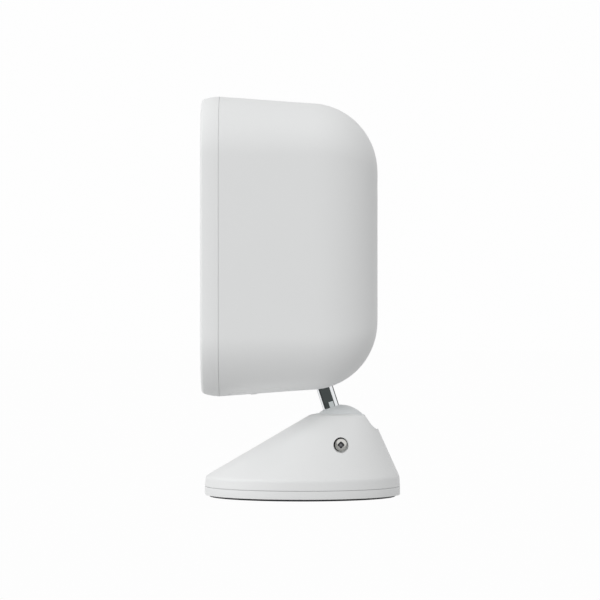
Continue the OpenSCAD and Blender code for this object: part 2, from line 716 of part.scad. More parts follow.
module cover_cavity() hull() {
  translate([0, 0, cover_z - 1]) cylinder(h = shoulder_z - cover_z - 0.4, r = base_r - cover_wall, $fn = 96);
  translate([0, ball_y, rim_z - rim_fall - 1.2 * cover_wall])
    cylinder(h = eps, r = rim_r - 0.6, $fn = 96);
}

// The stalk's sweep from upright to lying back, as wide as its side swing needs
module stalk_groove() hull() for (a = [0:lie_back / 4:lie_back], x = [-1, 1])
  translate([x * (groove_half_w - stalk_r - free_gap), ball_y, ball_z]) rotate([-a, 0, 0])
    cylinder(h = 26, r = stalk_r + free_gap, $fn = 32);

module base_cover() color(WHITE) difference() {
  cover_form();
  difference() {
    cover_cavity();
    translate([0, ball_y, retainer_z]) cylinder(h = rim_z, r = collar_r, $fn = 96);
    for (a = retainer_screw_at) translate([0, ball_y, retainer_z]) rotate(a)
      translate([retainer_screw_r, 0, 0]) cylinder(h = rim_z, r = 3, $fn = 48);
    on_clamp(collar_r - 1) cylinder(h = 20, r = clamp_bore_r + 1.7, $fn = 64);
    for (a = [-118, -90, -62]) translate([0, ball_y, retainer_z + 0.2]) rotate(a)
      translate([collar_r - 1, -rib_t / 2, 0]) cube([2 * base_r, rib_t, rim_z]);
    for (i = [0:lock_count - 1]) rotate(120 * i) rotate_extrude(angle = lock_lug_angle, $fn = 96)
      translate([lock_ring_r + free_gap, plate_z + 0.8]) square([6, lock_lug_t]);
  }
  translate([0, ball_y, ball_z]) sphere(ball_r + run_gap, $fn = 96);
  translate([0, ball_y, retainer_z - 1])
    cylinder(h = cup_top + run_gap - retainer_z + 1, r = cup_r + run_gap, $fn = 96);
  translate([0, ball_y, ball_z + ball_drop - 1]) cylinder(h = 3, r = mouth_r, $fn = 96);
  stalk_groove();
  on_clamp(clamp_seat) cylinder(h = 20, r = clamp_bore_r, $fn = 64);
  on_clamp(cup_r) cylinder(h = 20, r = clamp_r + fit_gap, $fn = 48);
  on_clamp(cup_r - 1) cylinder(h = clamp_tip - cup_r + 1, r = shoe_r + run_gap, $fn = 48);
  translate([nut_x - run_gap, ball_y - nut_w / 2 - run_gap, clamp_z - 12])
    cube([nut_t + 2 * run_gap, nut_w + 2 * run_gap, 12 + nut_w / 2 + run_gap]);
  for (a = retainer_screw_at) translate([0, ball_y, retainer_z - 1]) rotate(a)
    translate([retainer_screw_r, 0, 0]) cylinder(h = 7, r = screw_r * 0.9, $fn = 32);
}

module base_plate() color([0.88, 0.88, 0.88]) difference() {
  union() {
    translate([0, 0, pad_t]) cylinder(h = plate_edge, r1 = base_r - plate_edge, r2 = base_r, $fn = 144);
    translate([0, 0, pad_t + plate_edge]) cylinder(h = plate_t - plate_edge, r = base_r, $fn = 144);
    translate([0, 0, plate_z - 0.5]) ring(lock_ring_r - lock_ring_t, lock_ring_r, lock_ring_h + 0.5);
    for (i = [0:lock_count - 1]) rotate(120 * i - lock_gap_angle) {
      rotate_extrude(angle = lock_tab_angle, $fn = 96)
        translate([lock_ring_r - 0.5, plate_z + lock_ring_h - lock_tab_t])
          square([lock_tab_w + 0.5, lock_tab_t]);
      rotate_extrude(angle = lock_stop_angle, $fn = 96)
        translate([lock_ring_r - 0.4, plate_z - 0.5]) square([lock_tab_w + 0.2, lock_ring_h + 0.3]);
    }
  }
  difference() {
    translate([0, 0, pad_t + plate_floor]) ring(hub_r, lock_ring_r - lock_ring_t - 0.8, plate_t);
    for (i = [0:2]) rotate(-90 + 120 * i) translate([wall_hole_pcr, 0, 0])
      cylinder(h = 10, r = wall_hole_r + 3.2, $fn = 64);
    for (i = [0:5]) rotate(60 * i) translate([0, -plate_rib_t / 2, 0]) cube([base_r, plate_rib_t, 10]);
  }
  for (i = [0:2]) rotate(-90 + 120 * i) translate([wall_hole_pcr, 0, 0]) {
    cylinder(h = plate_z + 1, r = wall_hole_r, $fn = 48);
    translate([0, 0, plate_z - 1.8]) cylinder(h = 1.9, r1 = wall_hole_r, r2 = wall_hole_r + 1.9, $fn = 48);
  }
}

module foot_pad() color(RUBBER) difference() {
  cylinder(h = pad_t, r = base_r - 1.9, $fn = 144);
  translate([0, 0, -1]) cylinder(h = pad_t + 2, r = 8, $fn = 64);
  for (i = [0:2]) rotate(-90 + 120 * i) translate([wall_hole_pcr, 0, -1])
    cylinder(h = pad_t + 2, r = wall_hole_r + 2, $fn = 48);
}

front_bezel();
rear_shell();
housing_gasket();
camera_window();
lens_barrel();
lens_element();
lens_shroud();
camera_board();
infrared_board();
infrared_leds();
pir_lens();
pir_sensor();
main_board();
shield_can();
antenna();
microphone();
microphone_boot();
loudspeaker();
loudspeaker_gasket();
button_cap();
light_ring();
button_board();
button_switch();
chassis();
chassis_screws();
battery_contacts();
battery_pack();
battery_cap();
battery_cap_gasket();
release_tab();
stalk_bush();
swivel_washer();
stalk_clip();
stalk();
ball();
ball_cup();
cup_spring();
cup_retainer();
retainer_screws();
clamp_screw();
clamp_nut();
brake_shoe();
base_cover();
base_plate();
foot_pad();
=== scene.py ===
"""Finishes, moulded shells and studio for a video doorbell on a ball-jointed table stand."""

import json
import math
from contextlib import contextmanager

import bmesh
import bpy
from bpy.props import FloatProperty, FloatVectorProperty, IntProperty, PointerProperty
from mathutils import Matrix, Vector


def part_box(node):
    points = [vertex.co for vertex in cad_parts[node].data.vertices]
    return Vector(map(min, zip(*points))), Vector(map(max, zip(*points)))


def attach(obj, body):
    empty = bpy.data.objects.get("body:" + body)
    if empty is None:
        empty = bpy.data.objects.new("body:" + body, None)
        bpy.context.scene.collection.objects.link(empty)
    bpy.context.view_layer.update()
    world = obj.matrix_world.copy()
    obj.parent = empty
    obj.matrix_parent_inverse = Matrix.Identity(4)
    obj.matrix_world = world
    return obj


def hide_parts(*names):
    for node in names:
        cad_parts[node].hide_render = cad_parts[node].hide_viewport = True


bl_info = {
    "name": "Stand Video Doorbell",
    "version": (1, 0, 0),
    "blender": (4, 5, 0),
    "location": "3D View > Sidebar > Doorbell",
    "description": "Models the shells, trims and finishes of a video doorbell on a table stand",
    "category": "Add Mesh",
}

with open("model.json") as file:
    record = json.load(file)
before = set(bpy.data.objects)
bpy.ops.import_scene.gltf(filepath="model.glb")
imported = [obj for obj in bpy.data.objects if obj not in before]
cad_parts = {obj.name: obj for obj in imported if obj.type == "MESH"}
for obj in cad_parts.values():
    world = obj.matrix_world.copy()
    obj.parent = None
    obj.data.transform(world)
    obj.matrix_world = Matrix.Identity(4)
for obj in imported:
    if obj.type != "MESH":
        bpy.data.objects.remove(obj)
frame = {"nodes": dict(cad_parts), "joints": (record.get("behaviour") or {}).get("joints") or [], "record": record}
NODES = frame["nodes"]
JOINTS = {joint["name"]: joint for joint in frame["joints"]}
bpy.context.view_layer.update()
MM = 0.001

SHELL_LO, SHELL_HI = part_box("rear_shell")
COVER_LO, COVER_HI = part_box("base_cover")
CUP_LO, CUP_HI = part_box("ball_cup")
CUP_R = (CUP_HI.x - CUP_LO.x) / 2
RETAINER_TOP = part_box("cup_retainer")[1].z
SEAM = SHELL_LO.y
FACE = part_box("front_bezel")[0].y
BALL = Vector(JOINTS["ball_tilt"]["pos_m"])
STALK_AXIS = Vector(JOINTS["head_swivel"]["axis"])
CLAMP = Vector(JOINTS["clamp_turn"]["pos_m"])
RIGHT, BACK, UP = Vector((1, 0, 0)), Vector((0, 1, 0)), Vector((0, 0, 1))
SOCKET_FOOT = Vector((0, BALL.y, 0))  # where the upright line through the ball meets the floor
Z_TO_X = Matrix(((0, 0, 1), (1, 0, 0), (0, 1, 0))).to_4x4()  # lays an upright form along X

OVERCUT = 1 * MM  # how far a cutter runs past the face it opens
TRIM_GAP = 0.15 * MM  # round the trims and the battery's cap
RUN_GAP = 0.05 * MM  # round the ball's cup and the window
BALL_GAP = 0.02 * MM  # round the ball and the foot of its stalk
STALK_GAP = 0.4 * MM  # round the stalk in its hole and its groove
SLIVER = 0.002 * MM  # edges shorter than this are merged


def span(node):
    """Width, depth and height of a CAD node."""
    low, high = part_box(node)
    return high - low


def middle(node):
    """Centre of a CAD node's box."""
    low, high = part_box(node)
    return (low + high) / 2


def linear(hex_colour):
    """An sRGB hex colour as linear RGB."""
    parts = [int(hex_colour[i : i + 2], 16) / 255 for i in (0, 2, 4)]
    return tuple(c / 12.92 if c <= 0.04045 else ((c + 0.055) / 1.055) ** 2.4 for c in parts)


# ---------------------------------------------------------------- settings


def size(description, metres):
    """A length that a user can change."""
    return FloatProperty(description=description, default=metres, min=0, unit="LENGTH", precision=5)


def angle(description, degrees):
    """An angle that a user can change."""
    return FloatProperty(description=description, default=math.radians(degrees), subtype="ANGLE")


def strength(description, default):
    """A strength of light that a user can change."""
    return FloatProperty(description=description, default=default, min=0)


def colour(description, hex_colour):
    """A colour that a user can change."""
    rgb = linear(hex_colour)
    return FloatVectorProperty(description=description, default=rgb, min=0, max=1, subtype="COLOR")


class HeadSizes(bpy.types.PropertyGroup):
    """Sizes of the head's two mouldings."""

    width: size("Width of the head at the seam", span("rear_shell").x)
    height: size("Height of the head at the seam", span("rear_shell").z)
    depth: size("From the seam to the back face", span("rear_shell").y)
    draft: angle("Taper of the sides", 4.2)
    back_radius: size("Roll from the sides into the back face", 28.4 * MM)
    corner_radius: size("Corner of the outline at the seam", 25.4 * MM)
    back_corner: size("Corner radius left on the flat of the back", 2.4 * MM)
    wall: size("Thickness of the mouldings", 2.2 * MM)
    bezel_taper: size("How far the bezel's sides curve in at the front", 1.5 * MM)
    front_edge: size("Edge radius round the front face", 1.2 * MM)
    seam_edge: size("Edge radius on both sides of the seam", 0.06 * MM)
    seam_gap: size("Width of the shadow line between the mouldings", 0.14 * MM)
    tab_ridge: size("How far back the release tab's ridge starts", 3 * MM)


class FrontSizes(bpy.types.PropertyGroup):
    """Sizes of what the front face carries."""

    window_radius: size("Radius of the camera window", span("camera_window").x / 2)
    lens_port: size("Radius of the window's clear middle", 7.3 * MM)
    sensor_width: size("Width of the motion sensor's lens", 30 * MM)
    sensor_height: size("Height of the motion sensor's lens", 11 * MM)
    facet_pitch: size("Pitch of the facets in the sensor's lens", 1.5 * MM)
    facet_depth: size("Depth of the grooves between the facets", 0.16 * MM)
    push_radius: size("Radius of the bell push", 10.9 * MM)
    push_dish: size("Depth of the hollow in the bell push", 0.35 * MM)
    ring_width: size("Radial width of the light ring", 2 * MM)
    hole_radius: size("Radius of a loudspeaker hole", 0.7 * MM)
    hole_pitch: size("Pitch of the loudspeaker holes", 2.4 * MM)
    hole_rings: IntProperty(description="Rings of holes round the middle one", default=2, min=1)
    mic_radius: size("Radius of the microphone's hole", 0.5 * MM)


class StandSizes(bpy.types.PropertyGroup):
    """Sizes of the stand."""

    base_radius: size("Radius of the round base", span("base_plate").x / 2)
    skirt_draft: size("How much narrower the skirt is at its top", 0.25 * MM)
    skirt_height: size("From the cover's lower edge to its shoulder", 4.15 * MM)
    shoulder_edge: size("Softness between skirt and slope", 0.9 * MM)
    cover_wall: size("Thickness of the cover", 2.3 * MM)
    rim_radius: size("Radius of the rim round the ball", 13.4 * MM)
    rim_fall: size("How far the rim falls from the lip to its edge", 0.7 * MM)
    ball_radius: size("Radius of the ball", span("ball").x / 2)
    stalk_radius: size("Radius of the plated stalk", span("stalk").x / 2)
    stalk_foot: size("From the ball's centre to the stalk's seat in it", 4.55 * MM)
    stalk_shoulder: size("From the ball's centre to the stalk's shoulder", 24.1 * MM)
    stalk_end: size("From the ball's centre to the stalk's far end", 35.3 * MM)
    journal_radius: size("Radius of the stalk inside its bush", 3 * MM)
    bush_radius: size("Outer radius of the bush", 5 * MM)
    groove_half_width: size("Half width of the groove behind the ball", 8.5 * MM)
    lie_back: angle("How far the stalk lies back", 66)
    clamp_bore: size("Radius of the counterbore round the clamp screw", 3.15 * MM)
    screw_head: size("Radius of the clamp screw's head", 2.5 * MM)
    screw_height: size("Height of the clamp screw's head", 2.1 * MM)
    screw_thread: size("Radius of the clamp screw's thread", 1.25 * MM)
    wall_hole: size("Radius of a wall screw's hole", 2.25 * MM)
    wall_hole_circle: size("Pitch circle radius of the wall screws", 25 * MM)


class Finishes(bpy.types.PropertyGroup):
    """Colours of the finishes."""

    head: colour("Moulded ABS of the head", "E5E6E6")
    stand: colour("Moulded ABS of the stand", "E0E1E1")
    ball: colour("Acetal of the ball", "D6D9DA")
    window: colour("Acrylic over the camera", "060608")
    glow: colour("Frosted polycarbonate of the light ring", "DDE4E8")
    rubber: colour("Silicone of foot and gaskets", "2A2B2D")


class StageSettings(bpy.types.PropertyGroup):
    """The studio round the object."""

    distance: size("From the camera to the object's middle plane", 1.39)
    view_width: size("Width that the camera sees at the middle plane", 0.252)
    view_centre: FloatVectorProperty(
        description="Point the camera looks at", default=(0, -0.00103, 0.0823), subtype="XYZ"
    )
    ambient: strength("Even studio light", 0.585)
    fill: strength("Glow of the card under the object, which fills the undersides", 0.41)
    belly: strength("Glow of the small card that lifts the head's lower edge", 0.8)
    key: strength("Soft boxes, as a share of their own power", 1)
    fill_radius: size("Radius of the card under the object", 0.25)
    box_size: size("Side of each square soft box", 0.6)
    box_distance: size("From each soft box to the middle of the view", 1.2)


GROUPS = {
    "doorbell_head": HeadSizes,
    "doorbell_front": FrontSizes,
    "doorbell_stand": StandSizes,
    "doorbell_finish": Finishes,
    "doorbell_stage": StageSettings,
}


# ---------------------------------------------------------------- finishes


def add(tree, kind, links=None, **settings):
    """Adds a node, sets its settings, and fills its inputs with values or links them to sockets."""
    made = tree.nodes.new(kind)
    for name, value in settings.items():
        setattr(made, name, value)
    for key, value in (links or {}).items():
        if isinstance(value, bpy.types.NodeSocket):
            tree.links.new(value, made.inputs[key])
        else:
            made.inputs[key].default_value = value
    return made


def emptied(owner):
    """The node tree of a new material or world, with nothing in it."""
    owner.use_nodes = True
    owner.node_tree.nodes.clear()
    return owner.node_tree


# Each finish by its slot: the material's name, its colour (hex, or one of the settings), roughness, other
# sockets, patches (size in mm, and how much darker), and relief (grain and height in mm, and strength).
# Real moulded and rolled grains are near 0.05 mm. They are drawn at 0.2 to 0.5 mm, so that they show.
METAL = {"Metallic": 1.0}
ABS = (0.46, {"IOR": 1.53}, (18, 0.012), (0.35, 0.012, 0.5))
NYLON = (0.55, {"IOR": 1.53}, (4, 0.25), (0.4, 0.03, 0.6))
STEEL = (0.35, METAL, None, (0.4, 0.01, 0.5))
MILKY = {"IOR": 1.585, "Subsurface Weight": 0.35, "Subsurface Scale": 0.002}
WAXY = {"IOR": 1.54, "Subsurface Weight": 0.25, "Subsurface Scale": 0.001}
GLASS = {"IOR": 1.52, "Transmission Weight": 0.9, "Coat Weight": 0.4}
CLEAR = {"IOR": 1.49, "Transmission Weight": 1.0}
FINISHES = {
    # Injection-moulded ABS with a spark-eroded texture: even and satin, its colour hardly clouded
    "white_plastic": ("moulded_abs_head", "head", *ABS),
    "stand_plastic": ("moulded_abs_stand", "stand", *ABS),
    # Moulded acetal, tumbled smooth: like the ABS and a little greyer
    "ball": ("moulded_acetal_ball", "ball", *ABS),
    # Cast acrylic, back-printed black: deep gloss over the camera
    "black_window": ("smoked_acrylic", "window", 0.05, {"IOR": 1.49}, None, (30, 0.01, 0.2)),
    # The unprinted middle of the camera's window: clear, with a faint smoky cast
    "clear_port": ("clear_acrylic", "A8AAB0", 0.01, CLEAR, None, None),
    # Anti-reflection coated glass: clear with a violet cast
    "lens_glass": ("coated_lens_glass", "B8B4D8", 0.02, GLASS, None, None),
    # Frosted polycarbonate light guide: milky, with light carried inside it
    "light_guide": ("frosted_polycarbonate", "glow", 0.35, MILKY, None, (0.3, 0.01, 0.4)),
    # High-density polyethylene sensor lens: milky and waxy, thin enough to pass infrared
    "sensor_lens": ("milky_polyethylene", "E3E6E6", 0.42, WAXY, None, (0.5, 0.01, 0.4)),
    # Moulded silicone rubber: dull, with a slight bloom
    "rubber": ("silicone_rubber", "rubber", 0.78, {"IOR": 1.41}, (6, 0.2), (0.3, 0.03, 0.6)),
    # Glass-filled nylon and filled plastics like it: dark, streaked by their fibres
    "black_plastic": ("black_polycarbonate", "1A1A1C", *NYLON),
    "chassis_plastic": ("glass_filled_nylon", "3A3B3D", *NYLON),
    "battery_wrap": ("battery_shrink_wrap", "33353A", *NYLON),
    # Cast epoxy of the LED bodies: tinted, smooth and slightly cloudy
    "led_resin": ("tinted_epoxy", "3A2A3C", 0.12, {"IOR": 1.54}, (1, 0.1), None),
    # Green solder mask printed over copper: glossy, lighter between the tracks
    "circuit_board": ("green_solder_mask", "0F5A33", 0.3, {"IOR": 1.5}, None, None),
    # Decorative chrome over nickel: mirror bright, with faint draw lines from polishing
    "chrome": ("chrome_plate", "E6E8EA", 0.0, METAL, None, (1.2, 0.001, 0.1)),
    # Nickel-plated machine screw: bright but slightly duller than chrome
    "screw": ("nickel_plated_screw", "D2D1CD", 0.32, METAL, None, (0.25, 0.01, 0.4)),
    # Turned brass: warm and satin
    "brass": ("turned_brass", "C9A254", 0.3, METAL, None, (0.3, 0.008, 0.5)),
    # Tin-plated or spring steel: satin with rolling marks
    "steel": ("tinned_steel", "A9ABAE", *STEEL),
    # The same steel deep in the screw's cross recess, darkened as painted shade: grey on its cone and near-black
    # in its wings
    "cone": ("oiled_steel", "848486", *STEEL),
    "recess": ("shaded_recess", "2C2C2E", *STEEL),
    # Painted shadow for the narrow pocket by the clamp screw: almost black and without any shine
    "bore": ("oil_and_dust", "0C0C0D", 0.95, {"IOR": 1.25}, None, (0.2, 0.02, 0.6)),
}
TRACK_PITCH, TRACK_LIFT = 2.5, 1.7  # of the circuit boards: millimetres, and times as bright
MATERIALS = {}


def pattern(tree, kind, feature, links=None, **settings):
    """A texture fixed to the piece, whose features have a size in millimetres."""
    spot = add(tree, "ShaderNodeTexCoord").outputs["Object"]
    return add(tree, kind, {"Vector": spot, "Scale": 1 / (feature * MM), **(links or {})}, **settings).outputs


def two_toned(tree, shader, factor, first, second):
    """Lets a pattern take a shader's colour from one tone to another."""
    tones = {"Factor": factor, "A": (*first, 1), "B": (*second, 1)}
    blend = add(tree, "ShaderNodeMix", tones, data_type="RGBA")
    tree.links.new(blend.outputs["Result"], shader.inputs["Base Color"])


def make_materials():
    """Makes every finish once, from the table and the colours in the settings."""
    chosen = bpy.context.scene.doorbell_finish
    for slot, (name, tint, roughness, sockets, patches, relief) in FINISHES.items():
        rgb = tuple(getattr(chosen, tint)) if tint in Finishes.__annotations__ else linear(tint)
        material = MATERIALS[slot] = bpy.data.materials.new(name)
        tree = emptied(material)
        plain = {"Base Color": (*rgb, 1), "Roughness": roughness, **sockets}
        shader = add(tree, "ShaderNodeBsdfPrincipled", plain)
        add(tree, "ShaderNodeOutputMaterial", {"Surface": shader.outputs[0]})
        if patches:
            feature, darker = patches
            clouds = pattern(tree, "ShaderNodeTexNoise", feature, {"Detail": 3.0, "Roughness": 0.55})
            two_toned(tree, shader, clouds["Fac"], [c * (1 - darker) for c in rgb], rgb)
        if slot == "circuit_board":
            tracks = pattern(tree, "ShaderNodeTexVoronoi", TRACK_PITCH, distance="CHEBYCHEV")
            two_toned(tree, shader, tracks["Distance"], rgb, [c * TRACK_LIFT for c in rgb])
        if relief:
            feature, height, share = relief
            grain = pattern(tree, "ShaderNodeTexNoise", feature, {"Detail": 2.0, "Roughness": 0.6})
            rise = {"Strength": share, "Distance": height * MM, "Height": grain["Fac"]}
            bump = add(tree, "ShaderNodeBump", rise)
            tree.links.new(bump.outputs[0], shader.inputs["Normal"])


# ---------------------------------------------------------------- mesh helpers


def new_piece(name, form=None):
    """An object at the origin, with the mesh of a form."""
    mesh = bpy.data.meshes.new(name)
    if form:
        form.to_mesh(mesh)
        form.free()
    made = bpy.data.objects.new(name, mesh)
    bpy.context.scene.collection.objects.link(made)
    return made


def solid(name, form):
    """A closed form as an object, with its faces pointing outwards."""
    bmesh.ops.remove_doubles(form, verts=form.verts, dist=1e-7)
    bmesh.ops.recalc_face_normals(form, faces=form.faces)
    return new_piece(name, form)


@contextmanager
def reworked(mesh):
    """Opens a mesh for a change, and writes it back."""
    form = bmesh.new()
    form.from_mesh(mesh)
    yield form
    form.to_mesh(mesh)
    form.free()


def rounded_ring(width, height, radius, per_corner):
    """Points of a rounded rectangle, counterclockwise, with true arcs at its corners."""
    half_w, half_h = width / 2 - radius, height / 2 - radius
    points = []
    for quarter, (side_x, side_y) in enumerate(((1, 1), (-1, 1), (-1, -1), (1, -1))):
        points += arc((side_x * half_w, side_y * half_h), radius, 90 * quarter, 90 * quarter + 90, per_corner)
    return points


def arc(centre, radius, start, end, steps=6):
    """Points of an arc, with its angles in degrees."""
    turns = [math.radians(start + (end - start) * i / steps) for i in range(steps + 1)]
    return [(centre[0] + radius * math.cos(a), centre[1] + radius * math.sin(a)) for a in turns]


def circle(radius, count):
    """Points of a circle."""
    step = 2 * math.pi / count
    return [(radius * math.cos(i * step), radius * math.sin(i * step)) for i in range(count)]


def bridge(form, low, high):
    """Joins two rows of points, each a closed ring or one pole, with faces."""
    count = max(len(low), len(high))
    for i in range(count):
        j = (i + 1) % count
        corners = (low[i % len(low)], low[j % len(low)], high[j % len(high)], high[i % len(high)])
        corners = list(dict.fromkeys(corners))
        if len(corners) > 2:
            form.faces.new(corners)


def loft(name, rings):
    """A closed form through rings of points, all with the same count, capped at both ends."""
    form = bmesh.new()
    rows = [[form.verts.new(point) for point in ring] for ring in rings]
    for low, high in zip(rows, rows[1:]):
        bridge(form, low, high)
    form.faces.new(list(reversed(rows[0])))
    form.faces.new(rows[-1])
    return solid(name, form)


def turned(name, profile, place, segments=96):
    """A closed form turned from a profile of (radius, height) about +Z, then placed."""
    form = bmesh.new()
    rows = []
    for radius, height in profile:
        ring = circle(radius, segments) if radius > 1e-7 else [(0, 0)]
        rows.append([form.verts.new((x, y, height)) for x, y in ring])
    hollow = len(rows[0]) > 1
    for low, high in zip(rows, rows[1:] + rows[:1] if hollow else rows[1:]):
        bridge(form, low, high)
    form.transform(place)
    return solid(name, form)


def along(foot, direction):
    """A matrix that puts +Z on a direction from a point."""
    return Matrix.Translation(foot) @ UP.rotation_difference(direction).to_matrix().to_4x4()


def rod(name, radius, start, end, foot=BALL, direction=STALK_AXIS, segments=96):
    """A plain round form along the stalk, or along another line."""
    profile = [(0, start), (radius, start), (radius, end), (0, end)]
    return turned(name, profile, along(foot, direction), segments)


def block(name, extent, place):
    """A plain block, used only to cut or fill."""
    form = bmesh.new()
    bmesh.ops.create_cube(form, size=1)
    form.transform(place @ Matrix.Diagonal((*extent, 1)))
    return solid(name, form)


def column(name, node, grow, radius, low, high, per_corner=8):
    """An upright rounded column on a CAD node's plan, grown on each side."""
    plan, centre = span(node), middle(node)
    outline = rounded_ring(plan.x + 2 * grow, plan.y + 2 * grow, radius, per_corner)
    return loft(name, [[(x, centre.y + y, z) for x, y in outline] for z in (low, high)])


def hull(name, points, place):
    """The convex form round some points, placed."""
    form = bmesh.new()
    for point in points:
        form.verts.new(point)
    bmesh.ops.convex_hull(form, input=form.verts)
    bmesh.ops.delete(form, geom=[v for v in form.verts if not v.link_faces], context="VERTS")
    form.transform(place)
    return solid(name, form)


def bake(piece):
    """Applies a piece's modifiers to its mesh."""
    bpy.context.view_layer.update()
    evaluated = piece.evaluated_get(bpy.context.evaluated_depsgraph_get())
    mesh = bpy.data.meshes.new_from_object(evaluated)
    piece.modifiers.clear()
    piece.data = mesh
    return piece


def combine(piece, others, operation="DIFFERENCE"):
    """Cuts other forms from a piece, or joins or intersects them, and removes them.

    A cutter with a finish of its own leaves it on the faces that it cuts.
    """
    if not piece.data.materials:
        piece.data.materials.append(None)
    for other in others:
        change = piece.modifiers.new(operation.lower(), "BOOLEAN")
        change.operation = operation
        change.object = other
        change.solver = "EXACT"
        change.material_mode = "TRANSFER" if other.data.materials and other.data.materials[0] else "INDEX"
    bake(piece)
    for other in others:
        bpy.data.objects.remove(other)
    return piece


def soften(piece, width, from_angle=35, segments=2):
    """Breaks a piece's sharp edges with a small bevel."""
    edge = piece.modifiers.new("edge", "BEVEL")
    edge.width = width
    edge.segments = segments
    edge.limit_method = "ANGLE"
    edge.angle_limit = math.radians(from_angle)
    bake(piece)


def painted(piece, finish):
    """Gives a cutter the finish that it leaves on the faces it cuts."""
    piece.data.materials.clear()
    piece.data.materials.append(MATERIALS[finish])
    return piece


def closed(piece):
    """Merges the slivers that cuts and bevels leave, and closes the pinholes between them."""
    with reworked(piece.data) as form:
        bmesh.ops.remove_doubles(form, verts=form.verts, dist=SLIVER)
        bmesh.ops.dissolve_degenerate(form, dist=SLIVER, edges=form.edges)
        bmesh.ops.holes_fill(form, edges=[edge for edge in form.edges if edge.is_boundary], sides=12)
        wires = [edge for edge in form.edges if edge.is_wire]
        bmesh.ops.delete(form, geom=wires, context="EDGES")


def dress(piece, body, slot_name, node, finish=None):
    """Gives a piece its finish and body, and hides the CAD node it stands for."""
    closed(piece)
    main = MATERIALS[finish or slot_name]
    polygons, materials = piece.data.polygons, piece.data.materials
    worn = [(*materials, None)[min(poly.material_index, len(materials))] for poly in polygons]
    looks = [main, *(one for one in materials if one and one != main)]
    materials.clear()
    for look in looks:
        materials.append(look)
    for poly, look in zip(polygons, worn):
        poly.material_index = looks.index(look) if look in looks else 0
    piece.data.shade_smooth()
    piece.data.set_sharp_from_angle(angle=math.radians(32))
    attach(piece, body)
    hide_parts(node)
    return piece


# ---------------------------------------------------------------- geometry trees


def new_tree(name, inputs):
    """An empty geometry tree with named inputs, and its group input."""
    tree = bpy.data.node_groups.new(name, "GeometryNodeTree")
    tree.interface.new_socket("Geometry", in_out="OUTPUT", socket_type="NodeSocketGeometry")
    for label, kind in {**inputs, "Finish": "Material"}.items():
        tree.interface.new_socket(label, in_out="INPUT", socket_type=f"NodeSocket{kind}")
    return tree, add(tree, "NodeGroupInput").outputs


def close_tree(tree, given, geometry):
    """Ends a geometry tree in real geometry with its finish."""
    real = add(tree, "GeometryNodeRealizeInstances", {"Geometry": geometry})
    done = add(tree, "GeometryNodeSetMaterial", {"Geometry": real.outputs[0], "Material": given["Finish"]})
    add(tree, "NodeGroupOutput", {"Geometry": done.outputs[0]})
    return tree


def work_out(tree, known, sums):
    """Adds a table of sums to the numbers known in a tree: in each row a name, an operation and its terms."""
    for row in sums.strip().splitlines():
        name, operation, *terms = row.split()
        links = {i: known[term] if term in known else float(term) for i, term in enumerate(terms)}
        known[name] = add(tree, "ShaderNodeMath", links, operation=operation).outputs[0]


def grown(name, tree, values, place=Matrix.Identity(4)):
    """The plain mesh that a geometry tree makes from its inputs, placed, with its faces outwards."""
    piece = new_piece(name)
    change = piece.modifiers.new("form", "NODES")
    change.node_group = tree
    for item in tree.interface.items_tree:
        if item.in_out == "INPUT":
            change[item.identifier] = {**values, "Finish": MATERIALS["white_plastic"]}[item.name]
    bake(piece)
    piece.data.transform(place)
    with reworked(piece.data) as form:
        bmesh.ops.recalc_face_normals(form, faces=form.faces)
    return piece


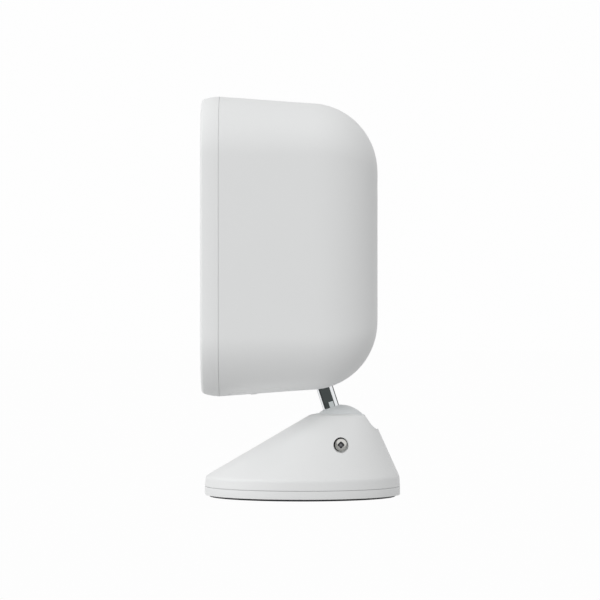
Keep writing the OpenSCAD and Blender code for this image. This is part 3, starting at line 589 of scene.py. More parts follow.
# The head's form. The column i runs round the outline and the row j from the seam to the back: first
# straight drafted walls, then the roll. The first and the last row close it.
HEAD_SUMS = """
column ADD grid_x half_columns
row ADD grid_y half_rows
i ROUND column
corner_count ADD per_corner 1
turns DIVIDE i corner_count
quarter FLOOR turns
step MODULO i corner_count
part DIVIDE step per_corner
quarters ADD quarter part
around MULTIPLY quarters right_angle
diagonal MULTIPLY_ADD quarter right_angle half_right
cos_diagonal COSINE diagonal
sin_diagonal SINE diagonal
side_x SIGN cos_diagonal
side_z SIGN sin_diagonal
j ROUND row
from_first SUBTRACT j 1
not_below MAXIMUM from_first 0
ring MINIMUM not_below last_ring
straight_part DIVIDE ring straight
straight_share MINIMUM straight_part 1
arc_start SUBTRACT depth back_radius
run MULTIPLY arc_start straight_share
slope TANGENT draft
drawn_in MULTIPLY run slope
outline_in ADD drawn_in inset
almost_straight SUBTRACT straight 0.5
in_roll GREATER_THAN ring almost_straight
roll_steps SUBTRACT last_ring straight
roll_step SUBTRACT ring straight
roll_part DIVIDE roll_step roll_steps
roll_share MAXIMUM roll_part 0
roll_angle SUBTRACT right_angle draft
turned_by MULTIPLY_ADD roll_angle roll_share draft
cosine COSINE turned_by
rise SUBTRACT 1 cosine
rolled_in MULTIPLY rise in_roll
sine SINE turned_by
rolled_back MULTIPLY sine in_roll
roll SUBTRACT back_radius inset
at_seam LESS_THAN ring 0.5
lead_here MULTIPLY lead at_seam
run_on SUBTRACT run lead_here
back MULTIPLY_ADD roll rolled_back run_on
corner_left SUBTRACT back_corner inset
corner_end MAXIMUM corner_left least_corner
corner_here SUBTRACT corner_radius outline_in
corner_change SUBTRACT corner_end corner_here
corner MULTIPLY_ADD corner_change rolled_in corner_here
half_width MULTIPLY width 0.5
half_height MULTIPLY height 0.5
width_here SUBTRACT half_width outline_in
height_here SUBTRACT half_height outline_in
room SUBTRACT width_here corner_end
width_roll MINIMUM roll room
less_width MULTIPLY width_roll rolled_in
less_height MULTIPLY roll rolled_in
flat_width SUBTRACT width_here less_width
flat_height SUBTRACT height_here less_height
corner_x SUBTRACT flat_width corner
corner_z SUBTRACT flat_height corner
cos_around COSINE around
sin_around SINE around
arc_x MULTIPLY corner cos_around
arc_z MULTIPLY corner sin_around
outline_x MULTIPLY_ADD corner_x side_x arc_x
outline_z MULTIPLY_ADD corner_z side_z arc_z
open COMPARE j half_rows open_reach
x MULTIPLY outline_x open
z_flat MULTIPLY outline_z open
y ADD back seam
z ADD z_flat middle
"""
PER_CORNER = 24
STRAIGHT_STEPS = 6
ROLL_STEPS = 28


def head_tree(labels):
    """The tree for the head's form behind the seam, solid or inset as its cavity."""
    tree, given = new_tree("head_form", dict.fromkeys(labels, "Float"))
    columns = 4 * (PER_CORNER + 1) + 1
    rows = STRAIGHT_STEPS + ROLL_STEPS + 3
    counts = {"Size X": columns - 1, "Size Y": rows - 1, "Vertices X": columns, "Vertices Y": rows}
    grid = add(tree, "GeometryNodeMeshGrid", counts)
    spot = add(tree, "ShaderNodeSeparateXYZ", {0: add(tree, "GeometryNodeInputPosition").outputs[0]}).outputs
    known = {label.lower().replace(" ", "_"): given[label] for label in labels}
    known.update(grid_x=spot["X"], grid_y=spot["Y"], half_columns=(columns - 1) / 2, half_rows=(rows - 1) / 2)
    known.update(per_corner=PER_CORNER, straight=STRAIGHT_STEPS, last_ring=rows - 3, open_reach=rows / 2 - 1)
    known.update(right_angle=math.pi / 2, half_right=math.pi / 4, least_corner=0.6 * MM)
    work_out(tree, known, HEAD_SUMS)
    place = add(tree, "ShaderNodeCombineXYZ", {axis.upper(): known[axis] for axis in "xyz"})
    moved = {"Geometry": grid.outputs["Mesh"], "Position": place.outputs[0]}
    moved = add(tree, "GeometryNodeSetPosition", moved)
    merged = add(tree, "GeometryNodeMergeByDistance", {"Geometry": moved.outputs[0], "Distance": 1e-6})
    return close_tree(tree, given, merged.outputs[0])


def head_form(name, inset=0.0, lead=0.0):
    """The rear shell's solid form, or its cavity when inset by the wall."""
    head = bpy.context.scene.doorbell_head
    labels = ("Width", "Height", "Depth", "Back Radius", "Corner Radius", "Back Corner", "Draft")
    values = {label: getattr(head, label.lower().replace(" ", "_")) for label in labels}
    values.update(Inset=inset, Lead=lead, Seam=SEAM, Middle=(SHELL_LO.z + SHELL_HI.z) / 2)
    return grown(name, bpy.data.node_groups.get("head_form") or head_tree(values), values)


def repeated(name, kind, sums, values, place):
    """Round bars at spots that a table of sums works out from their number n, placed by a matrix."""
    tree = bpy.data.node_groups.get(kind)
    if not tree:
        inputs = {label: "Int" if isinstance(value, int) else "Float" for label, value in values.items()}
        tree, given = new_tree(kind, inputs)
        known = {label.lower(): given[label] for label in values}
        known.update(n=add(tree, "GeometryNodeInputIndex").outputs[0], sixth_turn=math.pi / 3)
        work_out(tree, known, sums)
        axes = {axis: known.get(axis.lower(), 0.0) for axis in "XY"}
        spot = add(tree, "ShaderNodeCombineXYZ", axes).outputs[0]
        points = add(tree, "GeometryNodePoints", {"Count": known["count"], "Position": spot}).outputs[0]
        form = {"Vertices": given["Sides"], "Radius": given["Radius"], "Depth": given["Length"]}
        bar = add(tree, "GeometryNodeMeshCylinder", form).outputs["Mesh"]
        bars = add(tree, "GeometryNodeInstanceOnPoints", {"Points": points, "Instance": bar})
        close_tree(tree, given, bars.outputs[0])
    return grown(name, tree, values, place)


ROW_SUMS = """
less SUBTRACT count 1
half MULTIPLY less 0.5
from_middle SUBTRACT n half
x MULTIPLY from_middle pitch
"""


def row_of_bars(count, pitch, length, radius, sides, place):
    """Bars along Z in a row along X, one pitch apart: thumb grooves and lens facets."""
    values = {"Count": count, "Sides": sides, "Pitch": pitch, "Length": length, "Radius": radius}
    return repeated("bars", "row_of_bars", ROW_SUMS, values, place)


# The n-th bore stands in the k-th ring round the middle one, and that ring holds six times k bores
PERFORATION_SUMS = """
next ADD rings 1
pairs MULTIPLY rings next
count MULTIPLY_ADD pairs 3 1
under_root MULTIPLY_ADD n 12 9
root SQRT under_root
shifted SUBTRACT root 3
ring_part DIVIDE shifted 6
less_error SUBTRACT ring_part 0.0001
ring CEIL less_error
ring_before SUBTRACT ring 1
before MULTIPLY ring ring_before
start MULTIPLY_ADD before 3 1
step SUBTRACT n start
turn DIVIDE step ring
angle MULTIPLY turn sixth_turn
out MULTIPLY ring pitch
cosine COSINE angle
sine SINE angle
x MULTIPLY out cosine
y MULTIPLY out sine
"""


# ---------------------------------------------------------------- the head


def battery_column(grow, top):
    """A rounded column through the battery's bay, a little larger than its cap when grown."""
    corner, below = 5 * MM, 5 * MM
    return column("column", "battery_cap", grow, corner + grow, SHELL_LO.z - below, top, per_corner=12)


class DOORBELL_OT_rear_shell(bpy.types.Operator):
    """Models the rear shell: a drafted cup with a rolled back, open for the battery and the stalk."""

    bl_idname = "doorbell.rear_shell"
    bl_label = "Rear shell"

    def execute(self, context):
        head, stand = context.scene.doorbell_head, context.scene.doorbell_stand
        boss_start, boss_end = 17 * MM, stand.stalk_end - 0.3 * MM  # along the stalk
        hole_start, bush_end, cap_room = 12 * MM, 40 * MM, 12 * MM
        shell = head_form("rear_shell_moulding")
        cavity = head_form("cavity", head.wall, lead=3 * MM)
        combine(cavity, [rod("boss", stand.bush_radius + head.wall, boss_start, boss_end)])
        cutters = [
            cavity,
            battery_column(TRIM_GAP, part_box("battery_cap")[0].z + cap_room),
            rod("hole", stand.stalk_radius + STALK_GAP, hole_start, stand.stalk_shoulder + OVERCUT),
            rod("bush_seat", stand.bush_radius, stand.stalk_shoulder, bush_end),
        ]
        combine(shell, cutters)
        soften(shell, head.seam_edge)
        dress(shell, "head", "white_plastic", "rear_shell")
        return {"FINISHED"}


class DOORBELL_OT_battery_cap(bpy.types.Operator):
    """Models the battery's cap, which fills the head's underside, and its release tab."""

    bl_idname = "doorbell.battery_cap"
    bl_label = "Battery cap"

    def execute(self, context):
        head = context.scene.doorbell_head
        cap = head_form("battery_cap_moulding")
        combine(cap, [battery_column(0.0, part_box("battery_cap_gasket")[0].z)], "INTERSECT")
        low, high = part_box("release_tab")
        tab_size, tab_mid = span("release_tab"), middle("release_tab")
        corner, tab_corner, floor, ceiling = 1.3 * MM, 1.2 * MM, SHELL_LO.z - 2 * MM, tab_mid.z + 1.8 * MM
        combine(cap, [column("pocket", "release_tab", TRIM_GAP, corner, floor, ceiling)])
        soften(cap, width=0.15 * MM)
        dress(cap, "battery", "white_plastic", "battery_cap")
        tab = column("release_tab_moulding", "release_tab", 0, tab_corner, low.z, high.z)
        # The tab's underside follows the shell's slope, with a ridge left proud at its rear
        slope = Matrix.Rotation(head.draft, 4, "X")
        ridge_foot, ridge_height, pare = 0.4 * MM, 0.3 * MM, (20 * MM, tab_size.y + MM, 4 * MM)
        flush = Matrix.Translation((0, tab_mid.y, low.z + ridge_foot)) @ slope
        below = -pare[2] / 2
        cutters = [
            block("flush", pare, flush @ Matrix.Translation((0, -head.tab_ridge, below))),
            block("proud", pare, flush @ Matrix.Translation((0, 0, below - ridge_height))),
        ]
        grip_y, grip_z, grip_length = -0.8 * MM, -0.1 * MM, tab_size.x - 3 * MM
        grip = flush @ Matrix.Translation((0, grip_y, grip_z)) @ Z_TO_X
        cutters.append(row_of_bars(3, tab_size.y / 5, grip_length, radius=0.4 * MM, sides=24, place=grip))
        combine(tab, cutters)
        soften(tab, width=0.12 * MM)
        dress(tab, "tab", "white_plastic", "release_tab")
        return {"FINISHED"}


def sensor_ring(front, y, pull=0.0):
    """The motion sensor's rounded outline at a depth, drawn in on each side."""
    width, height = front.sensor_width - 2 * pull, front.sensor_height - 2 * pull
    level = middle("pir_lens").z
    nearly_round = height / 2 - 0.01 * MM
    return [(x, y, level + z) for x, z in rounded_ring(width, height, nearly_round, 16)]


def front_cutters(front):
    """The forms that open the bezel's front face."""
    nodes = ("camera_window", "button_cap", "microphone", "loudspeaker")
    window, push, mic, sound = (middle(node) for node in nodes)
    through, recess, seat = 6 * MM, 1.3 * MM, 2.5 * MM
    bores = (
        (0, window.z, front.window_radius + RUN_GAP, recess),
        (0, window.z, front.window_radius - seat, through),
        (0, push.z, front.push_radius + 2 * TRIM_GAP + front.ring_width, through),
        (mic.x, mic.z, front.mic_radius, through),
    )
    cutters = []
    for x, z, radius, deep in bores:
        cutters.append(rod("bore", radius, -OVERCUT, deep, Vector((x, FACE, z)), BACK))
    cutters.append(loft("slot", [sensor_ring(front, y) for y in (FACE - OVERCUT, FACE + through)]))
    holes = {"Rings": front.hole_rings, "Pitch": front.hole_pitch, "Sides": 32}
    holes.update(Radius=front.hole_radius, Length=2 * through)
    spot = along(Vector((sound.x, FACE, sound.z)), BACK)
    return [*cutters, repeated("holes", "perforation", PERFORATION_SUMS, holes, spot)]


class DOORBELL_OT_front_bezel(bpy.types.Operator):
    """Models the front bezel with the openings for window, sensor, push and sound."""

    bl_idname = "doorbell.front_bezel"
    bl_label = "Front bezel"

    def execute(self, context):
        head = context.scene.doorbell_head
        level = middle("front_bezel").z
        deep = SEAM - FACE

        def ring(depth, pull):
            width, height = head.width - 2 * pull, head.height - 2 * pull
            outline = rounded_ring(width, height, head.corner_radius - pull, PER_CORNER)
            return [(x, SEAM - depth, level + z) for x, z in outline]

        def taper(depth):
            return head.bezel_taper * (depth / deep) ** 2

        gap, gap_deep, edge = head.seam_gap, 3 * head.seam_gap, head.front_edge
        side_steps, edge_steps = 8, 9
        rings = [ring(0, gap_deep), ring(gap, gap_deep), ring(gap, taper(gap))]
        for i in range(1, side_steps):
            depth = (deep - edge) * i / side_steps
            rings.append(ring(depth, taper(depth)))
        for i in range(edge_steps + 1):
            a = math.pi / 2 * i / edge_steps
            depth = deep - edge + edge * math.sin(a)
            rings.append(ring(depth, taper(depth) + edge * (1 - math.cos(a))))
        bezel = loft("front_bezel_moulding", rings)
        past_seam = 2 * MM
        inside = [ring(-past_seam, head.wall), ring(deep - head.wall, head.wall + head.bezel_taper)]
        combine(bezel, [loft("hollow", inside)])
        combine(bezel, front_cutters(context.scene.doorbell_front))
        soften(bezel, head.seam_edge)
        dress(bezel, "head", "white_plastic", "front_bezel")
        return {"FINISHED"}


def fitted(name, node, profile):
    """A form turned from a profile about a CAD node's middle, from its front face back."""
    foot = Vector((0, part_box(node)[0].y, middle(node).z))
    return turned(name, profile, along(foot, BACK), 128)


def disc(node, radius, front, back=(), edge=0.25 * MM):
    """The profile of a disc as thick as a CAD node, with points on its faces and a soft front edge."""
    thick = span(node).y
    return [*front, *arc((radius - edge, edge), edge, -90, 0), (radius, thick), *back, (0, thick)]


class DOORBELL_OT_front_trims(bpy.types.Operator):
    """Models the camera window, the sensor's lens, the bell push and its light ring."""

    bl_idname = "doorbell.front_trims"
    bl_label = "Front trims"

    def execute(self, context):
        front = context.scene.doorbell_front
        node, port = "camera_window", front.lens_port
        profile = disc(node, front.window_radius, [(0, 0), (port, 0)], [(port, span(node).y)])
        window = dress(fitted("camera_window_acrylic", node, profile), "head", "black_window", node)
        window.data.materials.append(MATERIALS["clear_port"])
        centre = middle(node)
        for face in window.data.polygons:
            if math.hypot(face.center.x - centre.x, face.center.z - centre.z) < port:
                face.material_index = 1

        node, radius, steps = "button_cap", front.push_radius, 8
        dish = [(radius * i / steps, front.push_dish * (1 - (i / steps) ** 2)) for i in range(steps)]
        push = fitted("bell_push_cap", node, disc(node, radius, dish))
        dress(push, "bell_push", "white_plastic", node)

        node, edge = "light_ring", 0.3 * MM
        inner = front.push_radius + TRIM_GAP
        outer = inner + front.ring_width
        soft_front = arc((inner + edge, edge), edge, 180, 270) + arc((outer - edge, edge), edge, -90, 0)
        profile = [(inner, span(node).y), *soft_front, (outer, span(node).y)]
        dress(fitted("light_ring_guide", node, profile), "head", "light_guide", node)

        node = "pir_lens"
        low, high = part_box(node)
        levels = ((high.y, 0), (low.y + 0.3 * MM, 0), (low.y + 0.1 * MM, 0.1 * MM), (low.y, 0.35 * MM))
        lens = loft("motion_sensor_lens", [sensor_ring(front, y, TRIM_GAP + pull) for y, pull in levels])
        width, height = front.sensor_width - 2 * TRIM_GAP, front.sensor_height - 2 * TRIM_GAP
        grooves = int(width / front.facet_pitch) - 1
        spot = Matrix.Translation((0, low.y, middle(node).z))
        combine(lens, [row_of_bars(grooves, front.facet_pitch, height * 2, front.facet_depth, 4, spot)])
        dress(lens, "head", "sensor_lens", node)
        return {"FINISHED"}


# ---------------------------------------------------------------- the stand


def level_ring(radius, centre_y, z):
    """A level circle of points."""
    return [(x, centre_y + y, z) for x, y in circle(radius, 192)]


def eased(controls, softness):
    """Level circles (radius, centre, height) through controls, with each inner corner rounded off."""
    longest, steps = 1.5 * MM, 6

    def run_to(point):
        first = made[-1]
        count = max(1, math.ceil((point - first).length / longest))
        made.extend(first.lerp(point, i / count) for i in range(1, count + 1))

    controls = [Vector(control) for control in controls]
    made = [controls[0]]
    for before, corner, after, soft in zip(controls, controls[1:], controls[2:], softness):
        ends = []
        for side in (before - corner, after - corner):
            ends.append(corner + side.normalized() * min(soft, side.length * 0.45))
        start, end = ends
        run_to(start)
        for i in range(1, steps + 1):
            u = i / steps
            made.append(start * (1 - u) ** 2 + corner * 2 * u * (1 - u) + end * u**2)
    run_to(controls[-1])
    return made


def mouth_radius(stand):
    """Radius of the opening that the ball shows through."""
    return math.sqrt(stand.ball_radius**2 - (COVER_HI.z - BALL.z) ** 2) + BALL_GAP


def cover_form(stand):
    """The cover's outer form: skirt, soft shoulder, oblique slope, soft rim and the lip round the ball."""
    radius, rim, low, lip = stand.base_radius, stand.rim_radius, COVER_LO.z, COVER_HI.z
    rim_edge = lip - stand.rim_fall
    chamfer, rim_drop, rim_in, lip_flat = 0.15 * MM, 0.35 * MM, 0.55 * MM, 0.3 * MM
    controls = [
        (radius - chamfer, 0, low),
        (radius, 0, low + chamfer),
        (radius - stand.skirt_draft, 0, low + stand.skirt_height),
        (rim, BALL.y, rim_edge - rim_drop),
        (rim - rim_in, BALL.y, rim_edge),
        (mouth_radius(stand) + lip_flat, BALL.y, lip),
    ]
    rings = eased(controls, (0.1 * MM, stand.shoulder_edge, 0.5 * MM, 0.5 * MM))
    return loft("base_cover_moulding", [level_ring(*ring) for ring in rings])


def solid_centres(node):
    """Centres of the separate solids of a CAD node."""
    form = bmesh.new()
    form.from_mesh(NODES[node].data)
    bmesh.ops.remove_doubles(form, verts=form.verts, dist=1e-6)
    left, spots = set(form.verts), []
    while left:
        found, front = set(), {left.pop()}
        while front:
            found |= front
            front = {edge.other_vert(vert) for vert in front for edge in vert.link_edges} - found
        left -= found
        low = [min(vert.co[i] for vert in found) for i in range(3)]
        high = [max(vert.co[i] for vert in found) for i in range(3)]
        spots.append((Vector(low) + Vector(high)) / 2)
    form.free()
    return sorted(spots, key=lambda spot: tuple(round(c, 5) for c in spot))


def cover_cavity(stand):
    """The space under the cover, less the collar, ribs and bosses that stand in it."""
    inner = stand.base_radius - stand.cover_wall
    shoulder = COVER_LO.z + stand.skirt_height - 1.4 * MM
    top, top_radius = COVER_HI.z - stand.rim_fall - 1.2 * stand.cover_wall, stand.rim_radius - 0.6 * MM
    rings = [level_ring(inner, 0, z) for z in (COVER_LO.z - OVERCUT, shoulder)]
    rings.append(level_ring(top_radius, BALL.y, top))
    collar, clamp_boss, screw_boss = CUP_R + 1.8 * MM, stand.clamp_bore + 1.7 * MM, 3 * MM
    standing = [rod("collar", collar, RETAINER_TOP, COVER_HI.z, SOCKET_FOOT, UP)]
    rib, rib_clear = (60 * MM, 1.6 * MM, 24 * MM), 0.2 * MM
    ribs = Matrix.Translation((0, BALL.y, RETAINER_TOP + rib[2] / 2 + rib_clear))
    for degrees in (-118, -90, -62):
        turn = Matrix.Rotation(math.radians(degrees), 4, "Z")
        reach = Matrix.Translation((collar + rib[0] / 2 - MM, 0, 0))
        standing.append(block("rib", rib, ribs @ turn @ reach))
    standing.append(rod("boss", clamp_boss, start=-4 * MM, end=20 * MM, foot=CLAMP, direction=RIGHT))
    for spot in solid_centres("retainer_screws"):
        foot = Vector((spot.x, spot.y, 0))
        standing.append(rod("boss", screw_boss, RETAINER_TOP, COVER_HI.z, foot, UP, segments=48))
    return combine(loft("cavity", rings), standing)


def clamp_relief(stand):
    """The pocket round the clamp screw's seat, deepest on the side of the ball's front, its faces a near-black
    painted shadow.
    """
    offset = Vector((0, -0.2 * MM, 0.2 * MM))
    deep, proud, seat_deep, seat_room = -1.4 * MM, 0.3 * MM, -4 * MM, 0.03 * MM
    pocket = rod("relief", stand.clamp_bore - offset.length, deep, proud, CLAMP + offset, RIGHT)
    seat = rod("seat", stand.screw_head + seat_room, seat_deep, OVERCUT, CLAMP, RIGHT)
    return painted(combine(pocket, [seat]), "bore")


def stalk_groove(stand):
    """The rounded groove that the stalk sweeps as it lies back."""
    radius = stand.stalk_radius + STALK_GAP
    side = stand.groove_half_width - radius
    leans, reach = 12, 26 * MM
    ends = [Vector((x, y, length)) for x, y in circle(radius, 64) for length in (0, reach)]
    points = []
    for i in range(leans + 1):
        turn = Matrix.Rotation(-stand.lie_back * i / leans, 4, "X")
        points += [turn @ end + BALL + Vector((x, 0, 0)) for x in (-side, side) for end in ends]
    return hull("groove", points, Matrix.Identity(4))


class DOORBELL_OT_base_cover(bpy.types.Operator):
    """Models the wedge cover with the socket's mouth, the groove behind it and the clamp's counterbore."""

    bl_idname = "doorbell.base_cover"
    bl_label = "Base cover"

    def execute(self, context):
        stand = context.scene.doorbell_stand
        cover = cover_form(stand)
        sphere = arc((0, 0), stand.ball_radius + BALL_GAP, -90, 90, 60)
        lip, cup = COVER_HI.z, CUP_HI.z
        screw_gap, seat_gap = 0.15 * MM, 0.03 * MM
        past_lip, past_skirt, thread_deep = 2 * MM, 20 * MM, 8 * MM
        cutters = [
            cover_cavity(stand),
            turned("socket", sphere, along(BALL, UP), 128),
            rod("mouth", mouth_radius(stand), lip - OVERCUT, lip + past_lip, SOCKET_FOOT, UP, 128),
            rod("cup_bore", CUP_R + RUN_GAP, RETAINER_TOP - OVERCUT, cup + RUN_GAP, SOCKET_FOOT, UP, 128),
            stalk_groove(stand),
            rod("counterbore", stand.clamp_bore, -seat_gap, past_skirt, CLAMP, RIGHT),
            clamp_relief(stand),
            rod("thread", stand.screw_thread + screw_gap, -thread_deep, OVERCUT, CLAMP, RIGHT, 48),
        ]
        combine(cover, cutters)
        soften(cover, width=0.14 * MM, from_angle=30, segments=3)
        dress(cover, "cover", "stand_plastic", "base_cover")
        return {"FINISHED"}


class DOORBELL_OT_ball_and_stalk(bpy.types.Operator):
    """Models the ball and the plated stalk, which necks down for its bush and clip."""

    bl_idname = "doorbell.ball_and_stalk"
    bl_label = "Ball and stalk"

    def execute(self, context):
        stand = context.scene.doorbell_stand
        radius, stalk, foot = stand.ball_radius, stand.stalk_radius, stand.stalk_foot
        place = along(BALL, STALK_AXIS)
        rim = stalk + 0.15 * MM
        rim_height = math.sqrt(radius**2 - rim**2)
        bore = stalk + BALL_GAP
        profile = arc((0, 0), radius, -90, 90 - math.degrees(math.asin(rim / radius)), 72)
        profile += [(bore, rim_height - 0.1 * MM), (bore, foot), (0, foot)]
        ball = turned("ball_moulding", profile, place, 144)
        dress(ball, "stalk_and_ball", "stand_plastic", "ball", "ball")
        neck, shoulder, end = stand.journal_radius, stand.stalk_shoulder, stand.stalk_end
        bevel, end_bevel = 0.2 * MM, 0.3 * MM
        clip_low, clip_high, clip_seat = end - 2.2 * MM, end - 1.4 * MM, neck - 0.4 * MM
        profile = [(0, foot), (stalk, foot), (stalk, shoulder - bevel), (stalk - bevel, shoulder)]
        profile += [(neck, shoulder), (neck, clip_low), (clip_seat, clip_low), (clip_seat, clip_high)]
        profile += [(neck, clip_high), (neck, end - end_bevel), (neck - end_bevel, end), (0, end)]
        dress(turned("stalk_plated", profile, place, 128), "stalk_and_ball", "chrome", "stalk")
        return {"FINISHED"}


class DOORBELL_OT_clamp_screw(bpy.types.Operator):
    """Models the clamp's pan-head screw with its cross recess."""

    bl_idname = "doorbell.clamp_screw"
    bl_label = "Clamp screw"

    def execute(self, context):
        stand = context.scene.doorbell_stand
        radius, height, thread = stand.screw_head, stand.screw_height, stand.screw_thread
        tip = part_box("clamp_screw")[0].x - CLAMP.x
        lie = Matrix.Translation(CLAMP) @ Z_TO_X
        dome, soft, tip_bevel, foot, edge_drop = 4.4 * MM, 0.15 * MM, 0.3 * MM, 0.1 * MM, 0.12 * MM

        def dome_height(r):
            return height - dome + math.sqrt(dome**2 - r**2)

        profile = [(0, tip), (thread - tip_bevel, tip), (thread, tip + tip_bevel), (thread, 0)]
        profile += [(radius - foot, 0), (radius, foot), (radius, dome_height(radius - soft) - edge_drop)]
        steps = 16
        inwards = [(radius - soft) * (1 - i / steps) for i in range(steps)]
        profile += [(r, dome_height(r)) for r in inwards]
        screw = turned("clamp_screw_nickel", [*profile, (0, height)], lie)

        # The cross recess: a cone in the middle, and a wing to each side, their cut faces in painted shade: grey
        # on the cone and near-black in the wings
        low, over, cone_foot, cone_mouth = height - 1.2 * MM, height + OVERCUT, 0.4 * MM, 1.3 * MM
        cone = [(0, low), (cone_foot, low), (cone_mouth, height - 0.1 * MM), (cone_mouth, over), (0, over)]
        cutters = [painted(turned("cone", cone, lie, 48), "cone")]
        half, near, far, top = 0.36 * MM, 0.8 * MM, 1.5 * MM, height + 0.3 * MM
        side = ((far, top), (near, top), (near, low), (far - 0.3 * MM, low))
        wing = [(r, across, z) for across in (-half, half) for r, z in side]
        for i in range(4):
            turn = lie @ Matrix.Rotation(i * math.pi / 2, 4, "Z")
            cutters.append(painted(hull("wing", wing, turn), "recess"))
        combine(screw, cutters)
        soften(screw, width=0.05 * MM, from_angle=30)
        dress(screw, "screw", "chrome", "clamp_screw", "screw")
        return {"FINISHED"}


def swept(section, start, turn):
    """A closed section of (radius, height) swept round Z from one angle by another, in degrees."""
    steps = round(turn / 2)
    rings = []
    for i in range(steps + 1):
        a = math.radians(start + turn * i / steps)
        rings.append([(r * math.cos(a), r * math.sin(a), z) for r, z in section])
    return loft("arc", rings)


class DOORBELL_OT_base_plate(bpy.types.Operator):
    """Models the base plate with its twist-lock ring and wall screw holes, and the rubber pad under it."""

    bl_idname = "doorbell.base_plate"
    bl_label = "Base plate and pad"

    def execute(self, context):
        stand = context.scene.doorbell_stand
        low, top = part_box("base_plate")[0].z, COVER_LO.z - 0.1 * MM
        thick, edge, radius = top - low, 0.15 * MM, stand.base_radius
        rounded = arc((radius - edge, edge), edge, -90, 0) + arc((radius - edge, thick - edge), edge, 0, 90)
        profile = [(0, 0), *rounded, (0, thick)]
        plate = turned("base_plate_moulding", profile, Matrix.Translation((0, 0, low)), 192)

        # The lock ring, with three tabs that the cover twists under
        outer, ring_top = radius - 5.1 * MM, top + 2.8 * MM
        inner = outer - 1.7 * MM
        tab_in, tab_out, tab_low = outer - 0.5 * MM, outer + 2 * MM, ring_top - 1.1 * MM
        section = [(inner, top - OVERCUT), (outer, top - OVERCUT), (outer, ring_top), (inner, ring_top)]
        lock = [turned("ring", section, Matrix.Identity(4), 192)]
        section = [(tab_in, tab_low), (tab_out, tab_low), (tab_out, ring_top), (tab_in, ring_top)]
        lock += [swept(section, 120 * i - 3, 26) for i in range(3)]
        combine(plate, lock, "UNION")

        hole, sink, upper = stand.wall_hole, 2 * MM, top + 0.2 * MM
        cone = [(0, -OVERCUT), (hole, -OVERCUT), (hole, upper - sink), (hole + sink, upper), (0, upper)]
        turns = [Matrix.Rotation(math.radians(120 * i - 90), 4, "Z") for i in range(3)]
        spots = [turn @ Vector((stand.wall_hole_circle, 0, 0)) for turn in turns]
        combine(plate, [turned("wall_hole", cone, Matrix.Translation(spot), 64) for spot in spots])
        dress(plate, "plate", "stand_plastic", "base_plate")

        outer, inner, edge, thick = span("foot_pad").x / 2, 8 * MM, 0.2 * MM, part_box("foot_pad")[1].z
        profile = [(inner, 0), *arc((outer - edge, edge), edge, -90, 0), (outer, thick), (inner, thick)]
        pad = turned("foot_pad_rubber", profile, Matrix.Identity(4), 192)
        combine(pad, [rod("hole", hole + sink, -OVERCUT, 2 * MM, spot, UP, 64) for spot in spots])
        dress(pad, "plate", "rubber", "foot_pad")
        return {"FINISHED"}


class DOORBELL_OT_inner_finishes(bpy.types.Operator):
    """Gives the inner pieces, which keep their CAD form, their finishes."""

    bl_idname = "doorbell.inner_finishes"
    bl_label = "Inner finishes"

    def execute(self, context):
        for row in frame["record"]["subparts"]:
            painted(NODES[row["node"]], row["material_slot"])
        return {"FINISHED"}


# ---------------------------------------------------------------- the stage


# Cards that the chrome mirrors: from and to in degrees round the stalk from +X, then from and to
# in millimetres along the stalk from the ball's centre, and the grey
CARDS = (
    (-176, -145, 2, 34, "B4B6B6"),
    (-103, -74, 2, 34, "3E4241"),
    (-74, 63, 12.6, 34, "4E5251"),
    (-74, -14, 2, 12.6, "484C4B"),
    (-14, 50, 2, 12.6, "C8CCCB"),
    (50, 63, 2, 12.6, "5C605F"),
    (122, 154, 2, 34, "1E2020"),
)
CARD_REACH = 75 * MM
# The card under the head's edge on the camera's side: its middle and its half sizes
BELLY_MIDDLE = (22 * MM, SEAM + 28 * MM, SHELL_LO.z - 4 * MM)
BELLY_HALF = (6 * MM, 28 * MM)
# Soft boxes: degrees round from +X, height angle in degrees, power in watts
SOFT_BOXES = ((-95, 8, 6.4), (-20, 8, 4.0), (25, 55, 2.7), (10, 8, 1.1))
FLOOR_GREY, FLOOR_SEEN, SKY_SEEN = "7C7C7C", 0.985, 0.99
FLOOR_WIDTH, FLOOR_LEVEL, CARD_LEVEL = 8, -0.2 * MM, -0.1 * MM
FILM = 36  # the camera's film width, in millimetres


def seen_directly(tree):
    """One for rays that show a surface as it looks, from the camera or by way of metal and glass."""
    ray = add(tree, "ShaderNodeLightPath").outputs
    seen = ray["Is Camera Ray"]
    for other in ("Is Transmission Ray", "Is Glossy Ray"):
        seen = add(tree, "ShaderNodeMath", {0: seen, 1: ray[other]}, operation="MAXIMUM").outputs[0]
    return seen


def lit(name, pick):
    """A stage material that mixes two looks, which a function adds to its tree."""
    material = bpy.data.materials.new(name)
    tree = emptied(material)
    factor, first, second = pick(tree)
    surface = add(tree, "ShaderNodeMixShader", {0: factor, 1: first.outputs[0], 2: second.outputs[0]})
    add(tree, "ShaderNodeOutputMaterial", {"Surface": surface.outputs[0]})
    return material


def glow(tree, rgb, power):
    """An even glow."""
    return add(tree, "ShaderNodeEmission", {"Color": (*rgb, 1), "Strength": power})


def lit_card(name, form, rgb, power, seen_by):
    """A stage card with an even glow that only one kind of ray sees."""

    def look(tree):
        clear, bright = add(tree, "ShaderNodeBsdfTransparent"), glow(tree, rgb, power)
        if seen_by == "glossy":  # only by perfect mirrors, which the chrome is
            return add(tree, "ShaderNodeLightPath").outputs["Is Singular Ray"], clear, bright
        return add(tree, "ShaderNodeNewGeometry").outputs["Backfacing"], bright, clear

    made = new_piece(name, form)
    made.data.materials.append(lit(name, look))
    for ray in {"camera", "diffuse", "glossy", "transmission", "shadow", "volume_scatter"} - {seen_by}:
        setattr(made, f"visible_{ray}", False)


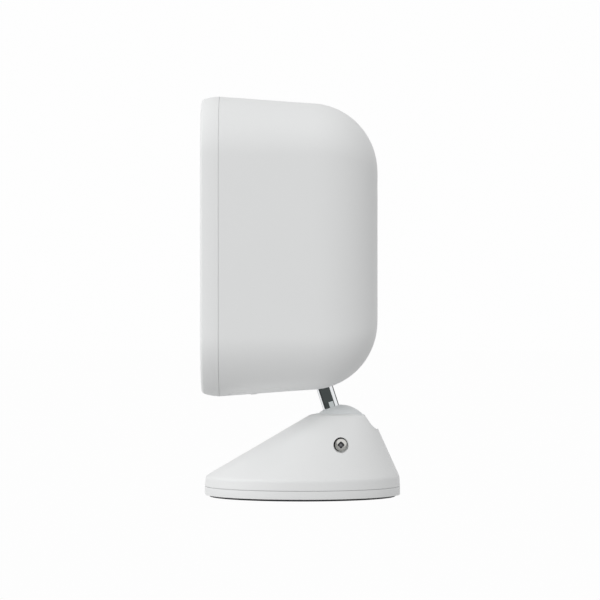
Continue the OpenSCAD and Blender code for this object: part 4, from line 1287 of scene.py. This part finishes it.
def mirror_card(name, start, end, low, high, grey):
    """A curved card round the stalk, from one angle to another, that only the chrome sees."""
    across = STALK_AXIS.cross(RIGHT)
    form = bmesh.new()
    rows = []
    steps = 24
    for i in range(steps + 1):
        a = math.radians(start + (end - start) * i / steps)
        out = BALL + (RIGHT * math.cos(a) + across * math.sin(a)) * CARD_REACH
        rows.append([form.verts.new(out + STALK_AXIS * height * MM) for height in (low, high)])
    for left, right in zip(rows, rows[1:]):
        form.faces.new((left[0], right[0], right[1], left[1]))
    lit_card(name, form, linear(grey), 1.0, "glossy")


def bounce_card(name, place, corners, power):
    """A flat oval card that sends soft light upwards and that nothing reflects."""
    form = bmesh.new()
    bmesh.ops.create_circle(form, cap_ends=True, segments=corners, radius=1, matrix=place)
    lit_card(name, form, (1, 1, 1), power, "diffuse")


class DOORBELL_OT_stage(bpy.types.Operator):
    """Builds the studio: floor, even light, cards, soft boxes and camera."""

    bl_idname = "doorbell.stage"
    bl_label = "Studio"

    def execute(self, context):
        stage, scene = context.scene.doorbell_stage, context.scene
        scene.view_settings.view_transform = "Standard"
        bpy.ops.mesh.primitive_plane_add(size=FLOOR_WIDTH, location=(0, 0, FLOOR_LEVEL))
        floor = context.object
        floor.name = "studio_floor"

        def paper(tree):
            """White to the camera, mirrors and clear pieces, and still taking shadows."""
            soft = add(tree, "ShaderNodeBsdfDiffuse", {"Color": (*linear(FLOOR_GREY), 1)})
            return seen_directly(tree), soft, glow(tree, (1, 1, 1), FLOOR_SEEN)

        floor.data.materials.append(lit("studio_floor_paper", paper))

        scene.world = bpy.data.worlds.new("studio_light")
        tree = emptied(scene.world)
        levels = {"Factor": seen_directly(tree), "A": stage.ambient, "B": SKY_SEEN}
        level = add(tree, "ShaderNodeMix", levels, data_type="FLOAT").outputs["Result"]
        sky = add(tree, "ShaderNodeBackground", {"Color": (1, 1, 1, 1), "Strength": level})
        add(tree, "ShaderNodeOutputWorld", {"Surface": sky.outputs[0]})

        for i, row in enumerate(CARDS):
            mirror_card(f"card_{i}", *row)
        reach = (stage.fill_radius, stage.fill_radius, 1, 1)
        below = Matrix.Translation((0, 0, CARD_LEVEL)) @ Matrix.Diagonal(reach)
        bounce_card("fill_card", below, 64, stage.fill)
        under = Matrix.Translation(BELLY_MIDDLE) @ Matrix.Diagonal((*BELLY_HALF, 1, 1))
        bounce_card("belly_card", under, 48, stage.belly)

        target = Vector(stage.view_centre)
        for i, (azimuth, rise, power) in enumerate(SOFT_BOXES):
            box = bpy.data.lights.new(f"soft_box_{i}", "AREA")
            box.size = stage.box_size
            box.energy = power * stage.key
            lamp = bpy.data.objects.new(f"soft_box_{i}", box)
            lamp.visible_glossy = False  # the white studio already gives the sheen; a lamp would burn spots
            scene.collection.objects.link(lamp)
            around = Matrix.Rotation(math.radians(azimuth), 3, "Z")
            up = Matrix.Rotation(math.radians(-rise), 3, "Y")
            lamp.location = target + around @ up @ Vector((stage.box_distance, 0, 0))
            lamp.rotation_euler = (target - lamp.location).to_track_quat("-Z", "Y").to_euler()

        lens = bpy.data.cameras.new("camera")
        lens.sensor_width = FILM
        lens.lens = FILM * stage.distance / stage.view_width
        lens.clip_start, lens.clip_end = 0.05, 20
        camera = scene.camera = bpy.data.objects.new("camera", lens)
        scene.collection.objects.link(camera)
        camera.location = target + Vector((stage.distance, 0, 0))
        camera.rotation_euler = (math.pi / 2, 0, math.pi / 2)
        return {"FINISHED"}


# ---------------------------------------------------------------- panel and registration

OPERATORS = (
    DOORBELL_OT_stage,
    DOORBELL_OT_inner_finishes,
    DOORBELL_OT_rear_shell,
    DOORBELL_OT_front_bezel,
    DOORBELL_OT_front_trims,
    DOORBELL_OT_battery_cap,
    DOORBELL_OT_ball_and_stalk,
    DOORBELL_OT_clamp_screw,
    DOORBELL_OT_base_cover,
    DOORBELL_OT_base_plate,
)


class DOORBELL_PT_panel(bpy.types.Panel):
    """Lists the doorbell's pieces and sizes in the 3D view's sidebar."""

    bl_idname = "DOORBELL_PT_panel"
    bl_label = "Video doorbell"
    bl_space_type = "VIEW_3D"
    bl_region_type = "UI"
    bl_category = "Doorbell"

    def draw(self, context):
        for operator in OPERATORS:
            self.layout.operator(operator.bl_idname)
        for name, group in GROUPS.items():
            box = self.layout.box()
            box.label(text=group.bl_rna.name)
            for key in group.__annotations__:
                box.prop(getattr(context.scene, name), key, text=key.replace("_", " ").capitalize())


CLASSES = (*GROUPS.values(), *OPERATORS, DOORBELL_PT_panel)


def register():
    for one in CLASSES:
        bpy.utils.register_class(one)
    for name, group in GROUPS.items():
        setattr(bpy.types.Scene, name, PointerProperty(type=group))


def unregister():
    for name in GROUPS:
        delattr(bpy.types.Scene, name)
    for one in reversed(CLASSES):
        bpy.utils.unregister_class(one)


def main():
    register()
    make_materials()
    for operator in OPERATORS:
        category, name = operator.bl_idname.split(".")
        getattr(getattr(bpy.ops, category), name)()
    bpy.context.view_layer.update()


if __name__ == "__main__":
    main()
